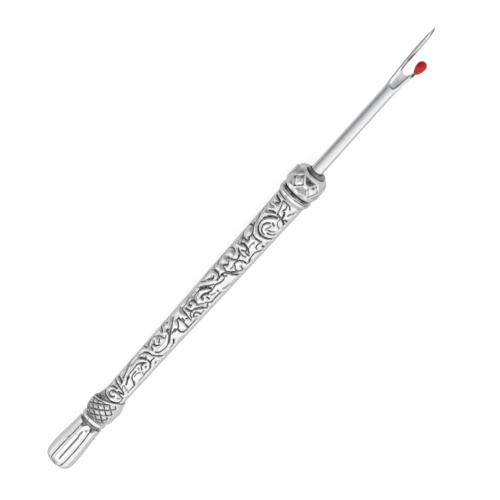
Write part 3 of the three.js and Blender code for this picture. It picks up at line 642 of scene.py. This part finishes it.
def lattice_bulb():
    """The cup, bored to sit over the rear end of the two shells."""
    outer = [(RING_END, COVE_R), (RING_END + 0.3, COVE_R - 0.08)]
    outer += traced(bulb_radius, COVE_END, RIM_AXIS, 0.07)
    bore = traced(lambda x: bulb_radius(x) - LIP_WALL + 0.05, SHELL_START, RIM_AXIS, 0.5)[::-1]
    bm = turned(outer + bore + [(SHELL_START, STUD_BORE), (RING_END, STUD_BORE)], 230)
    place("lattice_bulb", bm, antiqued_silver, bulb_relief)


# ---- Neck and ball ----

def neck_ring():
    """The turned band, its fine line and the dark groove next to the ball."""
    low = SLEEVE_R + 0.06
    crest = NECK + 1.3
    line = NECK + 1.5
    outline = [(NECK, low - 0.04), (NECK + 0.12, low - 0.08), (NECK + 0.25, low), (NECK + 0.4, low + 0.06)]
    outline += quarter((NECK + 0.45, low + 0.07), (crest, NECK_R), 9, False)
    outline += [(line - 0.07, NECK_R - 0.03), (line, NECK_R - 0.14), (line + 0.07, NECK_R - 0.05)]
    outline += [(line + 0.22, NECK_R - 0.02)]
    outline += quarter((line + 0.3, NECK_R - 0.04), (NECK_END, GROOVE_R), 10, True)
    outline += [(NECK_END, SPIGOT_BORE), (NECK, SPIGOT_BORE)]

    def darkening(points):
        """Oxide in the joint, the fine line and the deep groove, on the front only."""
        x = points[:, 0]
        angle = face_angle(points)
        front = 1 - past(np.abs(angle), 58, 72)
        joint = (1 - smooth(x, NECK + 0.12, NECK + 0.3)) * joint_stain(angle)
        fine = bell(x - line, 0.1) * past(-angle, 0, 12) * 0.95
        deep = smooth(x, NECK_END - 0.85, NECK_END - 0.45) * (0.8 + 0.2 * np.sin(angle * 9 + 1))
        return points, np.clip(joint + fine + deep, 0, 1) * front

    bm = turned(outline, 180)
    place("neck_ring", bm, antiqued_silver, darkening)


LOZENGES = 6
LOZENGE_TURN = math.radians(22.8)  # angle of the first lozenge
LOZENGE_LENGTH = 2.05  # half length along the tool
LOZENGE_HALF = math.radians(25)  # half height round the ball
LOZENGE_X = 3.4  # from the ball's rear face
RIDGE_HEIGHT = 0.09  # of the lozenge's raised outline
INNER_DEPTH = 0.16  # of the cut inside it
DOME_HEIGHT = 0.06  # of its middle
POCKET_DEPTH = 0.2  # of the hollows between lozenges
POCKETS = (  # their darkness: angle, behind and ahead of the crossing
    (-8, 0.62, 1.0),
    (52, 0.1, 0.42),
    (-67, 0.3, 0.1),
)
BALL_SPOTS = (  # oxide left elsewhere: from the rear face, angle, size, darkness
    (0.6, -12, 1.1, 0.5),
    (1.75, 2, 0.3, 0.9),
    (1.3, -2, 0.35, 0.7),
    (5.5, 40, 0.8, 0.5),
    (4.5, 22, 0.33, 1.0),
    (3.1, 41, 0.36, 0.95),
    (1.85, 23, 0.3, 0.85),
    (3.1, -18.5, 0.28, 0.9),
    (4.1, -30, 0.4, 1.0),
    (4.75, -36, 0.28, 0.9),
    (1.6, -35, 0.26, 0.8),
)
SPOT_RADIUS = 4.2  # at which their sizes hold


def ball_relief(points):
    """Raises the lozenges, sinks the pockets between them and leaves oxide in both."""
    ahead = points[:, 0] - NECK_END
    outer = smooth(radius_of(points), BALL_MOUTH_R - 0.1, BALL_MOUTH_R + 0.35)
    step = 2 * math.pi / LOZENGES
    turn = angle_of(points) - LOZENGE_TURN
    turn = turn - step * np.round(turn / step)
    facing = face_angle(points)
    along = (ahead - LOZENGE_X) / LOZENGE_LENGTH
    size = np.abs(along) + np.abs(turn) / LOZENGE_HALF
    ridge = bell(size - 1.02, 0.11)
    inner = bell(size - 0.79, 0.1)
    dome = 1 - smooth(size, 0.2, 0.7)
    outside = smooth(size, 1.1, 1.3)
    pocket = outside * smooth(np.abs(along), 0.16, 0.3) * (1 - smooth(np.abs(along), 0.8, 1.05))
    height = RIDGE_HEIGHT * ridge - INNER_DEPTH * inner + DOME_HEIGHT * dome - POCKET_DEPTH * pocket
    corner = smooth(np.cos(4 * np.arctan2(np.abs(turn) / LOZENGE_HALF, np.abs(along))), 0.1, 0.9)
    outline = np.where(facing > 0, 0.5, np.where(turn < 0, 0.8 * (along < 0.3), 0.25))
    dark = inner * np.clip(outline + 0.5 * corner * (facing > 0), 0, 1)
    for middle, behind, before in POCKETS:
        here = 1 - past(np.abs(facing - math.radians(middle)), 20, 30)
        dark = np.maximum(dark, pocket * here * np.where(along > 0, before, behind))
    groove = 1 - smooth(points[:, 0], NECK_END + 0.1, NECK_END + 0.45)
    front = 1 - past(np.abs(facing), 55, 70)
    dark = np.maximum(dark, groove * (0.2 + 0.75 * front))
    dark = add_spots(dark, BALL_SPOTS, ahead, facing, SPOT_RADIUS)
    return push(points, height * outer), np.clip(dark, 0, 1) * outer


def ball_head():
    """The barrel, with the seats of the ferrule and the spigot bored in it."""
    crest_start = NECK_END + 2.1
    crest_end = NECK_END + 3.9
    spigot_end = NECK_END + 2.15
    shank_bore = 1.55
    outline = [(NECK_END, GROOVE_R)] + quarter((NECK_END, GROOVE_R), (crest_start, BALL_R), 26, False)
    outline += traced(lambda x: BALL_R, crest_start, crest_end)[1:]
    outline += quarter((crest_end, BALL_R), (MOUTH, BALL_MOUTH_R), 30, True)
    outline += [(MOUTH + 0.02, 2.6), (MOUTH - 0.1, 2.2), (FERRULE_START, 2.1), (FERRULE_START, shank_bore)]
    outline += [(spigot_end, shank_bore), (spigot_end, SPIGOT_BORE), (NECK_END, SPIGOT_BORE)]
    bm = turned(outline, 240)
    place("ball_head", bm, antiqued_silver, ball_relief)


def mouth_ferrule():
    """The dark collar round the shank, in the ball's mouth."""
    seat = 2.05
    rise = 0.3
    off_centre = 0.36
    outline = [(FERRULE_START, seat), (MOUTH - 0.05, seat)]
    outline += [(MOUTH, FERRULE_R - 0.1), (MOUTH + 0.1, FERRULE_R)]
    outline += quarter((MOUTH + 0.2, FERRULE_R), (FERRULE_FACE, FERRULE_R - rise), 8, True)
    outline += [(FERRULE_FACE, 1.78), (FERRULE_FACE - 0.08, FERRULE_BORE), (FERRULE_START, FERRULE_BORE)]

    def slide(points):
        """The collar sits off centre in the ball's mouth, its bore still round the shank."""
        radius = radius_of(points)
        moved = points.copy()
        moved[:, 1] -= off_centre * smooth(radius, 1.8, 2.2) * (points[:, 0] > MOUTH - 0.06)
        return moved, 0.9 * (1 - smooth(radius, FERRULE_BORE + 0.02, 1.85))

    bm = turned(outline, 120)
    place("mouth_ferrule", bm, darkened_silver, slide)


# ---- Blade and bead ----

SHANK_R = (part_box("fork_blade")[1].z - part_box("fork_blade")[0].z) / 2 / MM / FACET
TANG_R = 1.15
SHOULDER = NECK_END + 2.1
FORK = TIP - 18.65  # where the rod starts to widen into the fork
# Ahead of FORK
SPLIT_START = -4.5  # the mesh's columns start to turn towards the prongs
FLATTEN_START = -1.0  # the rod starts to flatten
FLATTEN_END = 5.5  # and has become a plate
GRIND_START = 1.0  # ground hollow, at the middle of the gap
EDGE_AT = 5.2  # cutting edge, at the middle of the gap
SHORT_LENGTH = 6.9  # end of the short prong
WEB_CURVE = 0.9  # how much further on the cutting edge lies at the prongs
PLATE = 1.0  # thickness of the fork
POINT = 0.3  # and of its points
PEG_R = 0.24
# Edges of the two prongs: distance ahead of FORK, and y
LONG_OUTER = [(0, 1.5), (2.4, 1.66), (4.9, 1.83), (7.3, 1.97), (11.0, 2.12), (13.4, 2.15), (15.7, 2.1),
              (17.4, 1.98), (18.35, 1.86), (18.65, 1.75)]
LONG_INNER = [(0, 0.66), (1.0, 0.7), (2.65, 0.82), (5.1, 0.93), (7.0, 1.02), (8.0, 1.05), (12.6, 1.05),
              (14.6, 1.08), (16.4, 1.19), (17.6, 1.4), (18.3, 1.6), (18.65, 1.74)]
SHORT_INNER = [(0, -0.6), (1.0, -0.62), (2.65, -0.78), (5.1, -1.0), (6.3, -1.22), (6.9, -1.42)]
SHORT_OUTER = [(0, -1.5), (2.4, -1.7), (4.9, -1.92), (6.3, -2.03), (6.9, -1.95)]
ACROSS = (10, 16, 10)  # mesh columns of short prong, gap and long prong
TANG_STATIONS = [TANG_END, TANG_END + 0.3, TANG_END + 1.15, SHOULDER - 0.001, SHOULDER]
TANG_RADII = [0.0, 0.6, TANG_R, TANG_R, SHANK_R]
CREST_SHORT = 0.3  # share of each prong's width at which its crest runs
CREST_LONG = 0.56
CREST_POWER = 2.3  # how full the prongs are, 2 being an ellipse
EDGE_STEP = 0.1  # share of the thickness that stands square at a prong's edges
POINT_TAPER = 1.3  # above 1, the long prong thins late
GRIND_STEP = 0.1  # share of the thickness that the hollow's rear wall drops at once
GRIND_CURVE = 0.5  # how much further on the hollow starts at the prongs
WALL_SHORT = 0.2  # width of the slope from each prong down to the hollow
WALL_LONG = 0.5
PEG_SEAT = 0.8  # how far the peg reaches back into the prong
PEG_IN_BEAD = 2.0  # and on into the bead


def lerp(a, b, t):
    """From a at t = 0 to b at t = 1."""
    return a + (b - a) * t


def along_edge(x, edge):
    """y of one of the prong edges at x."""
    return np.interp(x - FORK, *np.array(edge).T)


def rod_radius(x):
    """Radius of the tang and the round shank."""
    return np.interp(x, TANG_STATIONS, TANG_RADII)


def blade_rows():
    """Stations of the blade: sparse in the handle, close along the fork."""
    web_end = FORK + EDGE_AT + WEB_CURVE
    short_end = FORK + SHORT_LENGTH
    rod = np.linspace(SHOULDER + 0.3, FORK - 5, 60)
    press = np.linspace(FORK - 4.9, FORK, 50)
    web = np.linspace(FORK, web_end, 62)[1:]
    short = np.linspace(web_end, short_end, 6)[1:]
    long = np.linspace(short_end, TIP, 120)[1:]
    return np.concatenate([TANG_STATIONS, rod, press, web, short, long]), web_end, short_end


def blade_edges(rows):
    """Columns of y: the short prong's outer and inner edge, then the long prong's inner and outer."""
    low = np.where(rows < FORK, -rod_radius(rows), along_edge(rows, SHORT_OUTER))
    high = np.where(rows < FORK, rod_radius(rows), along_edge(rows, LONG_OUTER))
    edges = (low, along_edge(rows, SHORT_INNER), along_edge(rows, LONG_INNER), high)
    return [edge[:, None] for edge in edges]


def half_thickness(x):
    """Half thickness at x: round in the shank, pressed to a plate at the fork, thinner to the points."""
    plate = lerp(SHANK_R, PLATE / 2, smooth(x, FORK + FLATTEN_START, FORK + FLATTEN_END))
    thin = np.clip((x - FORK - SHORT_LENGTH) / (TIP - FORK - SHORT_LENGTH), 0, 1)
    return np.where(x < SHOULDER + 0.1, rod_radius(x), lerp(plate, POINT / 2, thin ** POINT_TAPER))


def spaced(cells):
    """Shares from 0 to 1, closer at both ends, as on a round bar seen from above."""
    return (np.sin(np.linspace(-math.pi / 2, math.pi / 2, cells + 1)) + 1) / 2


def blade_plan(rows, web_end):
    """Grid of x and y over the blade's plan.

    Also gives each point's place between the prongs, -1 to 1, the cutting edge's x there, and which
    points lie in the web between the prongs.
    """
    low, inner_low, inner_high, high = blade_edges(rows)
    short_cells, gap_cells, long_cells = ACROSS
    short = lerp(low, inner_low, spaced(short_cells))
    gap = lerp(inner_low, inner_high, np.linspace(0, 1, gap_cells + 1))
    long = lerp(inner_high, high, spaced(long_cells))
    fork_y = np.hstack([short[:, :-1], gap, long[:, 1:]])
    y = lerp(lerp(low, high, spaced(sum(ACROSS))), fork_y, smooth(rows, FORK + SPLIT_START, FORK)[:, None])
    side = np.clip(2 * (y - (inner_low + inner_high) / 2) / (inner_high - inner_low), -1, 1)
    x = np.repeat(rows[:, None], sum(ACROSS) + 1, axis=1)
    edge = FORK + EDGE_AT + (web_end - FORK - EDGE_AT) * side ** 2
    in_web = (x > FORK) & (x <= web_end)
    x = np.where(in_web, lerp(FORK, edge, (x - FORK) / (web_end - FORK)), x)
    return x, y, side, edge, in_web


def prong_shape(y, rows, in_web):
    """Share of the thickness across each prong, full at its crest and falling to both edges."""
    low, inner_low, inner_high, high = blade_edges(rows)
    short_side = y < (inner_low + inner_high) / 2
    inner = np.where(short_side, inner_low, inner_high)
    outer = np.where(short_side, low, high)
    outwards = np.where(short_side, -1, 1)
    over = np.clip((y - inner) / outwards / np.maximum(np.abs(outer - inner), 0.05), 0, 1)
    crest = np.where(short_side, CREST_SHORT, CREST_LONG)
    slope = np.where(over < crest, 1 - over / crest, (over - crest) / (1 - crest))
    prong = (1 - EDGE_STEP) * (1 - slope ** CREST_POWER) ** (1 / CREST_POWER) + EDGE_STEP * (slope < 1)
    return np.where((over > 0) & ~(in_web & (over < crest)), prong, 1), short_side


def ground_share(x, y, side, edge, rows, web_end, short_side):
    """Share of the thickness left by grinding the hollow between the prongs."""
    start = FORK + GRIND_START + GRIND_CURVE * side ** 4
    along = (x - start) / np.maximum(edge - start, 0.05)
    fall = GRIND_STEP * smooth(x, start, start + 0.25)
    ground = np.where(along > 0, 1 - GRIND_STEP - fall - (1 - 2 * GRIND_STEP) * np.clip(along, 0, 1), 1)
    ground = np.clip(ground, 0, 1)
    ground = np.where(x > web_end - 1e-6, 0, ground)
    _, inner_low, inner_high, _ = blade_edges(rows)
    inside = np.maximum(y - inner_high, inner_low - y)
    width = np.where(short_side, WALL_SHORT, WALL_LONG)
    return np.where(inside > 0, ground + (1 - ground) * np.clip(inside / width, 0, 1), ground)


def blade_points(rows, web_end):
    """Grid of x, y and half height over the blade's plan, the ground hollow included."""
    x, y, side, edge, in_web = blade_plan(rows, web_end)
    low, _, _, high = blade_edges(rows)
    thick = half_thickness(x)
    reach = np.maximum((high - low) / 2, 1e-6)
    rod = np.sqrt(1 - np.clip(np.abs(y - (low + high) / 2) / reach, 0, 1) ** 2)
    prong, short_side = prong_shape(y, rows, in_web)
    height = thick * lerp(rod, prong, smooth(x, FORK - 0.3, FORK + 3.0))
    wall = ground_share(x, y, side, edge, rows, web_end, short_side)
    return x, y, np.where(x > FORK, np.minimum(height, thick * wall), height)


def fork_blade():
    """The blade as a plan grid, raised to its half height, its gap cut away, and mirrored below."""
    rows, web_end, short_end = blade_rows()
    count = sum(ACROSS)
    bm = bmesh.new()
    bmesh.ops.create_grid(bm, x_segments=len(rows) - 1, y_segments=count, size=0.5)
    x, y, height = blade_points(rows, web_end)
    spots = {}
    for vert in bm.verts:
        i = round((vert.co.x + 0.5) * (len(rows) - 1))
        j = round((vert.co.y + 0.5) * count)
        spots[vert] = (i, j)
        vert.co = (x[i, j], y[i, j], height[i, j])
    short, gap, _ = ACROSS
    gone = []
    for face in bm.faces:
        i = min(spots[vert][0] for vert in face.verts)
        j = min(spots[vert][1] for vert in face.verts)
        past_edge = rows[i] > web_end - 1e-6 and short <= j < short + gap
        past_short = rows[i] > short_end - 1e-6 and j < short
        if past_edge or past_short:
            gone.append(face)
    bmesh.ops.delete(bm, geom=gone, context="FACES")
    for edge in bm.edges:
        if edge.is_boundary:
            for vert in edge.verts:
                i, j = spots[vert]
                at_short_end = abs(rows[i] - short_end) < 1e-6 and 0 < j < short
                vert.co.z = vert.co.z if at_short_end else 0
    below = bmesh.ops.duplicate(bm, geom=bm.verts[:] + bm.edges[:] + bm.faces[:])["geom"]
    flipped = [item for item in below if isinstance(item, bmesh.types.BMVert)]
    bmesh.ops.scale(bm, verts=flipped, vec=(1, 1, -1))
    bmesh.ops.remove_doubles(bm, verts=bm.verts, dist=MERGE)
    bmesh.ops.holes_fill(bm, edges=[edge for edge in bm.edges if edge.is_boundary], sides=0)
    add_peg(bm, short_end)
    bmesh.ops.recalc_face_normals(bm, faces=bm.faces)

    def dull_and_shade(points):
        """Painted shade along the long prong's outer and inner edges, wider at its point, and in the ground
        hollow with a painted shadow line at its rear wall; a grey band over the long prong's middle, and
        dark over the short prong's end and the peg.
        """
        py = points[:, 1]
        ahead = points[:, 0] - FORK
        long_high = along_edge(points[:, 0], LONG_OUTER)
        long_low = along_edge(points[:, 0], LONG_INNER)
        # painted shade along the long prong's outer edge
        edge_line = 0.45 * (1 - smooth(long_high - py, 0.08, 0.26)) * smooth(ahead, 1, 4)
        # painted shade along the long prong's inner edge, in the open gap
        gap_line = 0.7 * (1 - smooth(py - long_low, 0.1, 0.3)) * smooth(ahead, 5.0, 6.5) * (py > 0.2)
        # a grey band over the middle of the long prong
        mid_prong_grey = 0.22 * smooth(ahead, 9.5, 10.5) * (1 - smooth(ahead, 14, 15.5))
        # painted shade along the long prong's inner edge, wider at its point
        point = 0.85 * smooth(ahead, 16.0, 17.0) * (1 - smooth(py - long_low, 0.2, 0.45))
        # dark over the short prong's end and the peg
        held = 0.97 * smooth(ahead, 5.4, 6.4) * smooth(-py, 1.45, 1.6)
        between = np.clip(py / long_low, -1, 1)
        # painted shade in the ground hollow, with a painted shadow line at its rear wall
        hollow = 0.28 * (np.abs(between) < 0.95) * smooth(ahead, 1.0, 1.3) * (1 - smooth(ahead, 2.5, 5.0))
        hollow = np.maximum(hollow, 0.75 * bell(ahead - 1.15, 0.16) * (np.abs(between) < 0.9))
        return points, np.maximum.reduce([edge_line, gap_line, mid_prong_grey, point, held, hollow])

    place("fork_blade", bm, polished_steel, dull_and_shade, crease=32)


def add_peg(bm, short_end):
    """Round wire end of the short prong, running into the bead."""
    length = BEAD_NECK + PEG_IN_BEAD - short_end + PEG_SEAT
    peg = bmesh.ops.create_cone(bm, cap_ends=True, segments=24, radius1=PEG_R, radius2=PEG_R, depth=length)
    middle = short_end - PEG_SEAT + length / 2
    bmesh.ops.rotate(bm, verts=peg["verts"], cent=(0, 0, 0), matrix=Matrix.Rotation(math.pi / 2, 3, "Y"))
    bmesh.ops.translate(bm, verts=peg["verts"], vec=(middle, BEAD_Y, 0))


def safety_bead():
    """Teardrop: a round head drawn out to a narrow neck on the prong's peg."""
    length = BEAD_END - BEAD_NECK
    head = length - BEAD_R * 1.15
    outline = [(0, 0.56), (0.05, 0.62), (0.25, 0.7), (0.55, 0.84), (1.0, 1.01), (1.5, 1.14)]
    drawn_for = 1.2
    outline = [(x, radius * BEAD_R / drawn_for) for x, radius in outline] + [(head, BEAD_R)]
    outline += quarter((head, BEAD_R), (length, 0), 22, True)
    hole = PEG_IN_BEAD + 0.05
    outline = [(hole, 0), (hole, PEG_R + 0.05), (0, PEG_R + 0.05)] + outline
    bm = turned([(x + BEAD_NECK, radius) for x, radius in outline], 64, closed=False)
    bmesh.ops.translate(bm, verts=bm.verts, vec=(0, BEAD_Y, 0))
    place("safety_bead", bm, red_plastic)


# ---- Materials ----

def linear(colour):
    """An sRGB hex value as the linear colour that the shader takes."""
    values = [int(colour[i:i + 2], 16) / 255 for i in (0, 2, 4)]
    return [v / 12.92 if v <= 0.04045 else ((v + 0.055) / 1.055) ** 2.4 for v in values] + [1.0]


def add(tree, kind, settings=None, **inputs):
    """Adds a node with its settings; an input is a constant or another node's socket.

    An input goes by its name, with _ for a space, or by its number, as in i0.
    """
    made = tree.nodes.new(kind)
    for key, value in (settings or {}).items():
        setattr(made, key, value)
    for key, value in inputs.items():
        by_number = key[0] == "i" and key[1:].isdigit()
        socket = made.inputs[int(key[1:]) if by_number else key.replace("_", " ")]
        if isinstance(value, bpy.types.NodeSocket):
            tree.links.new(value, socket)
        else:
            socket.default_value = value
    return made


def new_material(name, **shader):
    """A material with one Principled shader, its constants set on the shader's own sockets."""
    made = bpy.data.materials.new(name)
    made.use_nodes = True
    tree = made.node_tree
    tree.nodes.clear()
    surface = add(tree, "ShaderNodeBsdfPrincipled", **shader)
    add(tree, "ShaderNodeOutputMaterial", Surface=surface.outputs["BSDF"])
    return made, tree, surface


def make_antiqued_silver(name, bright, worn, oxide):
    """Silver plate over a struck and cast handle, dipped in oxide and rubbed back by hand.

    The rubbed metal is bright with a slightly uneven sheen, a grey bloom surrounds every cut, and
    the black sulphide is left, broken up, only in the bottom of the cuts. The same dark tone paints the
    shadow and shade on the sleeve just ahead of the bulb's rim.
    """
    made, tree, surface = new_material(name, Metallic=1.0, Specular_Tint=linear("D0D0D0"))
    bloom = 0.75 * MM  # patches that the rubbing left brighter or duller
    grit = 0.26 * MM  # grains of oxide left in a cut, drawn coarse to show
    place_at = add(tree, "ShaderNodeTexCoord").outputs["Object"]
    # darkness per point: oxide in the cuts, with painted shadow and shade ahead of the bulb's rim
    darkening = add(tree, "ShaderNodeAttribute", {"attribute_name": "patina_and_shade"}).outputs["Fac"]
    cloud = add(tree, "ShaderNodeTexNoise", Vector=place_at, Scale=1 / bloom, Detail=4.0)
    grain = add(tree, "ShaderNodeTexNoise", Vector=place_at, Scale=1 / grit, Detail=3.0)
    wear = add(tree, "ShaderNodeMapRange", Value=cloud.outputs["Fac"], From_Min=0.3, From_Max=0.7,
               To_Min=0.8, To_Max=1.1)
    broken = add(tree, "ShaderNodeMapRange", Value=grain.outputs["Fac"], From_Min=0.34, From_Max=0.6,
                 To_Min=0.66, To_Max=1.06)
    left = add(tree, "ShaderNodeMath", {"operation": "MULTIPLY"}, i0=darkening, i1=wear.outputs["Result"])
    left = add(tree, "ShaderNodeMath", {"operation": "MULTIPLY", "use_clamp": True}, i0=left.outputs[0],
               i1=broken.outputs["Result"])
    rubbed = add(tree, "ShaderNodeMix", {"data_type": "RGBA"}, i0=cloud.outputs["Fac"],
                 i6=linear(bright), i7=linear(worn))
    tone = add(tree, "ShaderNodeMix", {"data_type": "RGBA"}, i0=left.outputs[0],
               i6=rubbed.outputs[2], i7=linear(oxide))
    tree.links.new(tone.outputs[2], surface.inputs["Base Color"])
    rough = add(tree, "ShaderNodeMapRange", Value=left.outputs[0], To_Min=0.27, To_Max=0.5)
    tree.links.new(rough.outputs["Result"], surface.inputs["Roughness"])
    dents = add(tree, "ShaderNodeBump", Height=cloud.outputs["Fac"], Strength=0.5, Distance=0.05 * MM)
    bump = add(tree, "ShaderNodeBump", Height=grain.outputs["Fac"], Strength=0.25, Distance=0.02 * MM,
               Normal=dents.outputs["Normal"])
    tree.links.new(bump.outputs["Normal"], surface.inputs["Normal"])
    return made


def make_polished_steel():
    """Hardened tool steel, drawn, ground and polished along its length.

    Faint lengthwise lines stretch its reflections; where the fork's painted shade and its dark marks lie it
    is greyer and rougher.
    """
    made, tree, surface = new_material("polished_steel", Metallic=1.0, Specular_Tint=linear("D0D0D0"))
    line_width = 0.12 * MM  # drawn coarser than real polishing lines, to show
    place_at = add(tree, "ShaderNodeTexCoord").outputs["Object"]
    # painted shade on the fork's edges and ground hollow, and dark marks on the long prong and the peg
    dull_and_shade = add(tree, "ShaderNodeAttribute", {"attribute_name": "patina_and_shade"}).outputs["Fac"]
    stretch = add(tree, "ShaderNodeMapping", Vector=place_at, Scale=(0.04, 1, 1))
    lines = add(tree, "ShaderNodeTexNoise", Vector=stretch.outputs[0], Scale=1 / line_width, Detail=3.0)
    drawn = add(tree, "ShaderNodeMix", {"data_type": "RGBA"}, i0=lines.outputs["Fac"],
                i6=linear("C0C1C3"), i7=linear("CDCECF"))
    # the dark tone paints the fork's shade and marks
    tone = add(tree, "ShaderNodeMix", {"data_type": "RGBA"}, i0=dull_and_shade,
               i6=drawn.outputs[2], i7=linear("3A3A3B"))
    tree.links.new(tone.outputs[2], surface.inputs["Base Color"])
    rough = add(tree, "ShaderNodeMapRange", Value=dull_and_shade, To_Min=0.16, To_Max=0.6)
    tree.links.new(rough.outputs["Result"], surface.inputs["Roughness"])
    bump = add(tree, "ShaderNodeBump", Height=lines.outputs["Fac"], Strength=0.12, Distance=0.01 * MM)
    tree.links.new(bump.outputs["Normal"], surface.inputs["Normal"])
    return made


def make_red_plastic():
    """Dipped and cured acrylic: glossy, its red differing a little in soft random patches."""
    made, tree, surface = new_material("red_acrylic", IOR=1.49, Roughness=0.12, Specular_IOR_Level=0.3)
    cloud_size = 0.8 * MM
    place_at = add(tree, "ShaderNodeTexCoord").outputs["Object"]
    cloud = add(tree, "ShaderNodeTexNoise", Vector=place_at, Scale=1 / cloud_size, Detail=2.0)
    tone = add(tree, "ShaderNodeMix", {"data_type": "RGBA"}, i0=cloud.outputs["Fac"],
               i6=linear("A00303"), i7=linear("AD0505"))
    tree.links.new(tone.outputs[2], surface.inputs["Base Color"])
    return made


def make_plain(name, light, dark, grit, **shader):
    """A hidden or plain surface: two close tones in a fine grain of the given size in mm."""
    made, tree, surface = new_material(name, **shader)
    place_at = add(tree, "ShaderNodeTexCoord").outputs["Object"]
    grain = add(tree, "ShaderNodeTexNoise", Vector=place_at, Scale=1 / (grit * MM), Detail=3.0)
    tone = add(tree, "ShaderNodeMix", {"data_type": "RGBA"}, i0=grain.outputs["Fac"],
               i6=linear(light), i7=linear(dark))
    tree.links.new(tone.outputs[2], surface.inputs["Base Color"])
    bump = add(tree, "ShaderNodeBump", Height=grain.outputs["Fac"], Strength=0.1, Distance=0.02 * MM)
    tree.links.new(bump.outputs["Normal"], surface.inputs["Normal"])
    return made


antiqued_silver = make_antiqued_silver("antiqued_silver", "D4D4D4", "C2C2C2", "131313")
darkened_silver = make_plain("darkened_silver", "6D6D6D", "848484", 0.15, Metallic=1.0, Roughness=0.3)
polished_steel = make_polished_steel()
red_plastic = make_red_plastic()
setting_resin = make_plain("setting_resin", "4A3A2C", "5A4736", 0.5, Roughness=0.75, IOR=1.52)
plain_steel = make_plain("turned_steel", "8E9092", "A2A4A6", 0.2, Metallic=1.0, Roughness=0.35)

# ---- The pieces ----

fluted_pommel()
pommel_ring()
lattice_bulb()
grip_shell("grip_front_shell", 0.0)
grip_shell("grip_back_shell", math.pi)
neck_ring()
ball_head()
mouth_ferrule()
fork_blade()
safety_bead()
for node, material in (("setting_core", setting_resin), ("pommel_stud", plain_steel)):
    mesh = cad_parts[node].data
    mesh.materials.clear()
    mesh.materials.append(material)

# ---- Floor, light and camera ----

FLOOR_HALF = 1.5
CAMERA_AWAY = 4.0
VIEW_WIDTH = 0.1154  # of the picture at the tool, in metres
LEAN = math.radians(18)  # the point is nearer to the camera than the butt
ROLL = math.radians(48.06)  # of the tool in the picture
AIM = Vector((0.63, -0.376, 0)) * MM  # the tool's middle lies a little left of the picture's


def make_floor():
    bm = bmesh.new()
    bmesh.ops.create_grid(bm, x_segments=1, y_segments=1, size=FLOOR_HALF)
    mesh = bpy.data.meshes.new("floor")
    bm.to_mesh(mesh)
    bm.free()
    floor = bpy.data.objects.new("floor", mesh)
    bpy.context.scene.collection.objects.link(floor)
    made, tree, surface = new_material("opal_light_table", Roughness=0.9, Base_Color=linear("A0A0A0"),
                                       Emission_Color=linear("FFFFFF"))
    facing = add(tree, "ShaderNodeLayerWeight", Blend=0.5).outputs["Facing"]
    glow = add(tree, "ShaderNodeMapRange", Value=facing, From_Max=0.9, To_Min=0.72, To_Max=0.4)
    tree.links.new(glow.outputs["Result"], surface.inputs["Emission Strength"])
    mesh.materials.append(made)


def make_camera():
    """Looks down on the fork's flat side, the tool rising to the right with its point leaning nearer."""
    data = bpy.data.cameras.new("camera")
    data.sensor_width = 36
    data.lens = data.sensor_width * CAMERA_AWAY / VIEW_WIDTH
    data.clip_start = 0.5
    data.clip_end = 50
    camera = bpy.data.objects.new("camera", data)
    bpy.context.scene.collection.objects.link(camera)
    tool = Vector((math.cos(LEAN) * math.cos(ROLL), math.cos(LEAN) * math.sin(ROLL), math.sin(LEAN)))
    up = (Vector((0, 0, 1)) - tool * tool.z).normalized()
    side = up.cross(tool)
    turn = Matrix((tool, side, up))
    middle = Vector(((cad_bounds[0].x + cad_bounds[1].x) / 2, 0, AXIS_Z * MM))
    spot = middle + turn @ (AIM + Vector((0, 0, CAMERA_AWAY)))
    camera.matrix_world = Matrix.Translation(spot) @ turn.to_4x4()
    bpy.context.scene.camera = camera


def soft_box(name, middle, size, turn, radiance):
    """A rectangular light in metres, shining down its own -Z; radiance is that of its face."""
    data = bpy.data.lights.new(name, "AREA")
    data.shape = "RECTANGLE"
    data.size, data.size_y = size
    data.energy = radiance * size[0] * size[1] * math.pi
    box = bpy.data.objects.new(name, data)
    box.location = middle
    box.rotation_euler = turn
    box.visible_camera = False
    bpy.context.scene.collection.objects.link(box)


def make_light():
    """White tent, brighter on the short prong's side, with two soft boxes at the handle."""
    world = bpy.data.worlds.new("tent")
    bpy.context.scene.world = world
    world.use_nodes = True
    tree = world.node_tree
    tree.nodes.clear()
    sky = add(tree, "ShaderNodeTexCoord").outputs["Generated"]
    side = add(tree, "ShaderNodeVectorMath", {"operation": "DOT_PRODUCT"}, i0=sky, i1=(0.0, -0.985, 0.17))
    shade = add(tree, "ShaderNodeMapRange", Value=side.outputs["Value"], From_Min=-1.0,
                To_Min=0.3, To_Max=1.62)
    back = add(tree, "ShaderNodeBackground", Color=linear("FFFFFF"), Strength=shade.outputs["Result"])
    add(tree, "ShaderNodeOutputWorld", Surface=back.outputs[0])
    soft_box("handle_box", (-0.238, 0.02, 0.3), (0.32, 0.3), (0, 0, 0), 1.1)
    soft_box("side_box", (-0.26, 0.3, 0.15), (0.32, 0.3), (-math.pi / 2, 0, 0), 1.1)


make_floor()
make_camera()
make_light()
bpy.context.scene.view_settings.view_transform = "Standard"
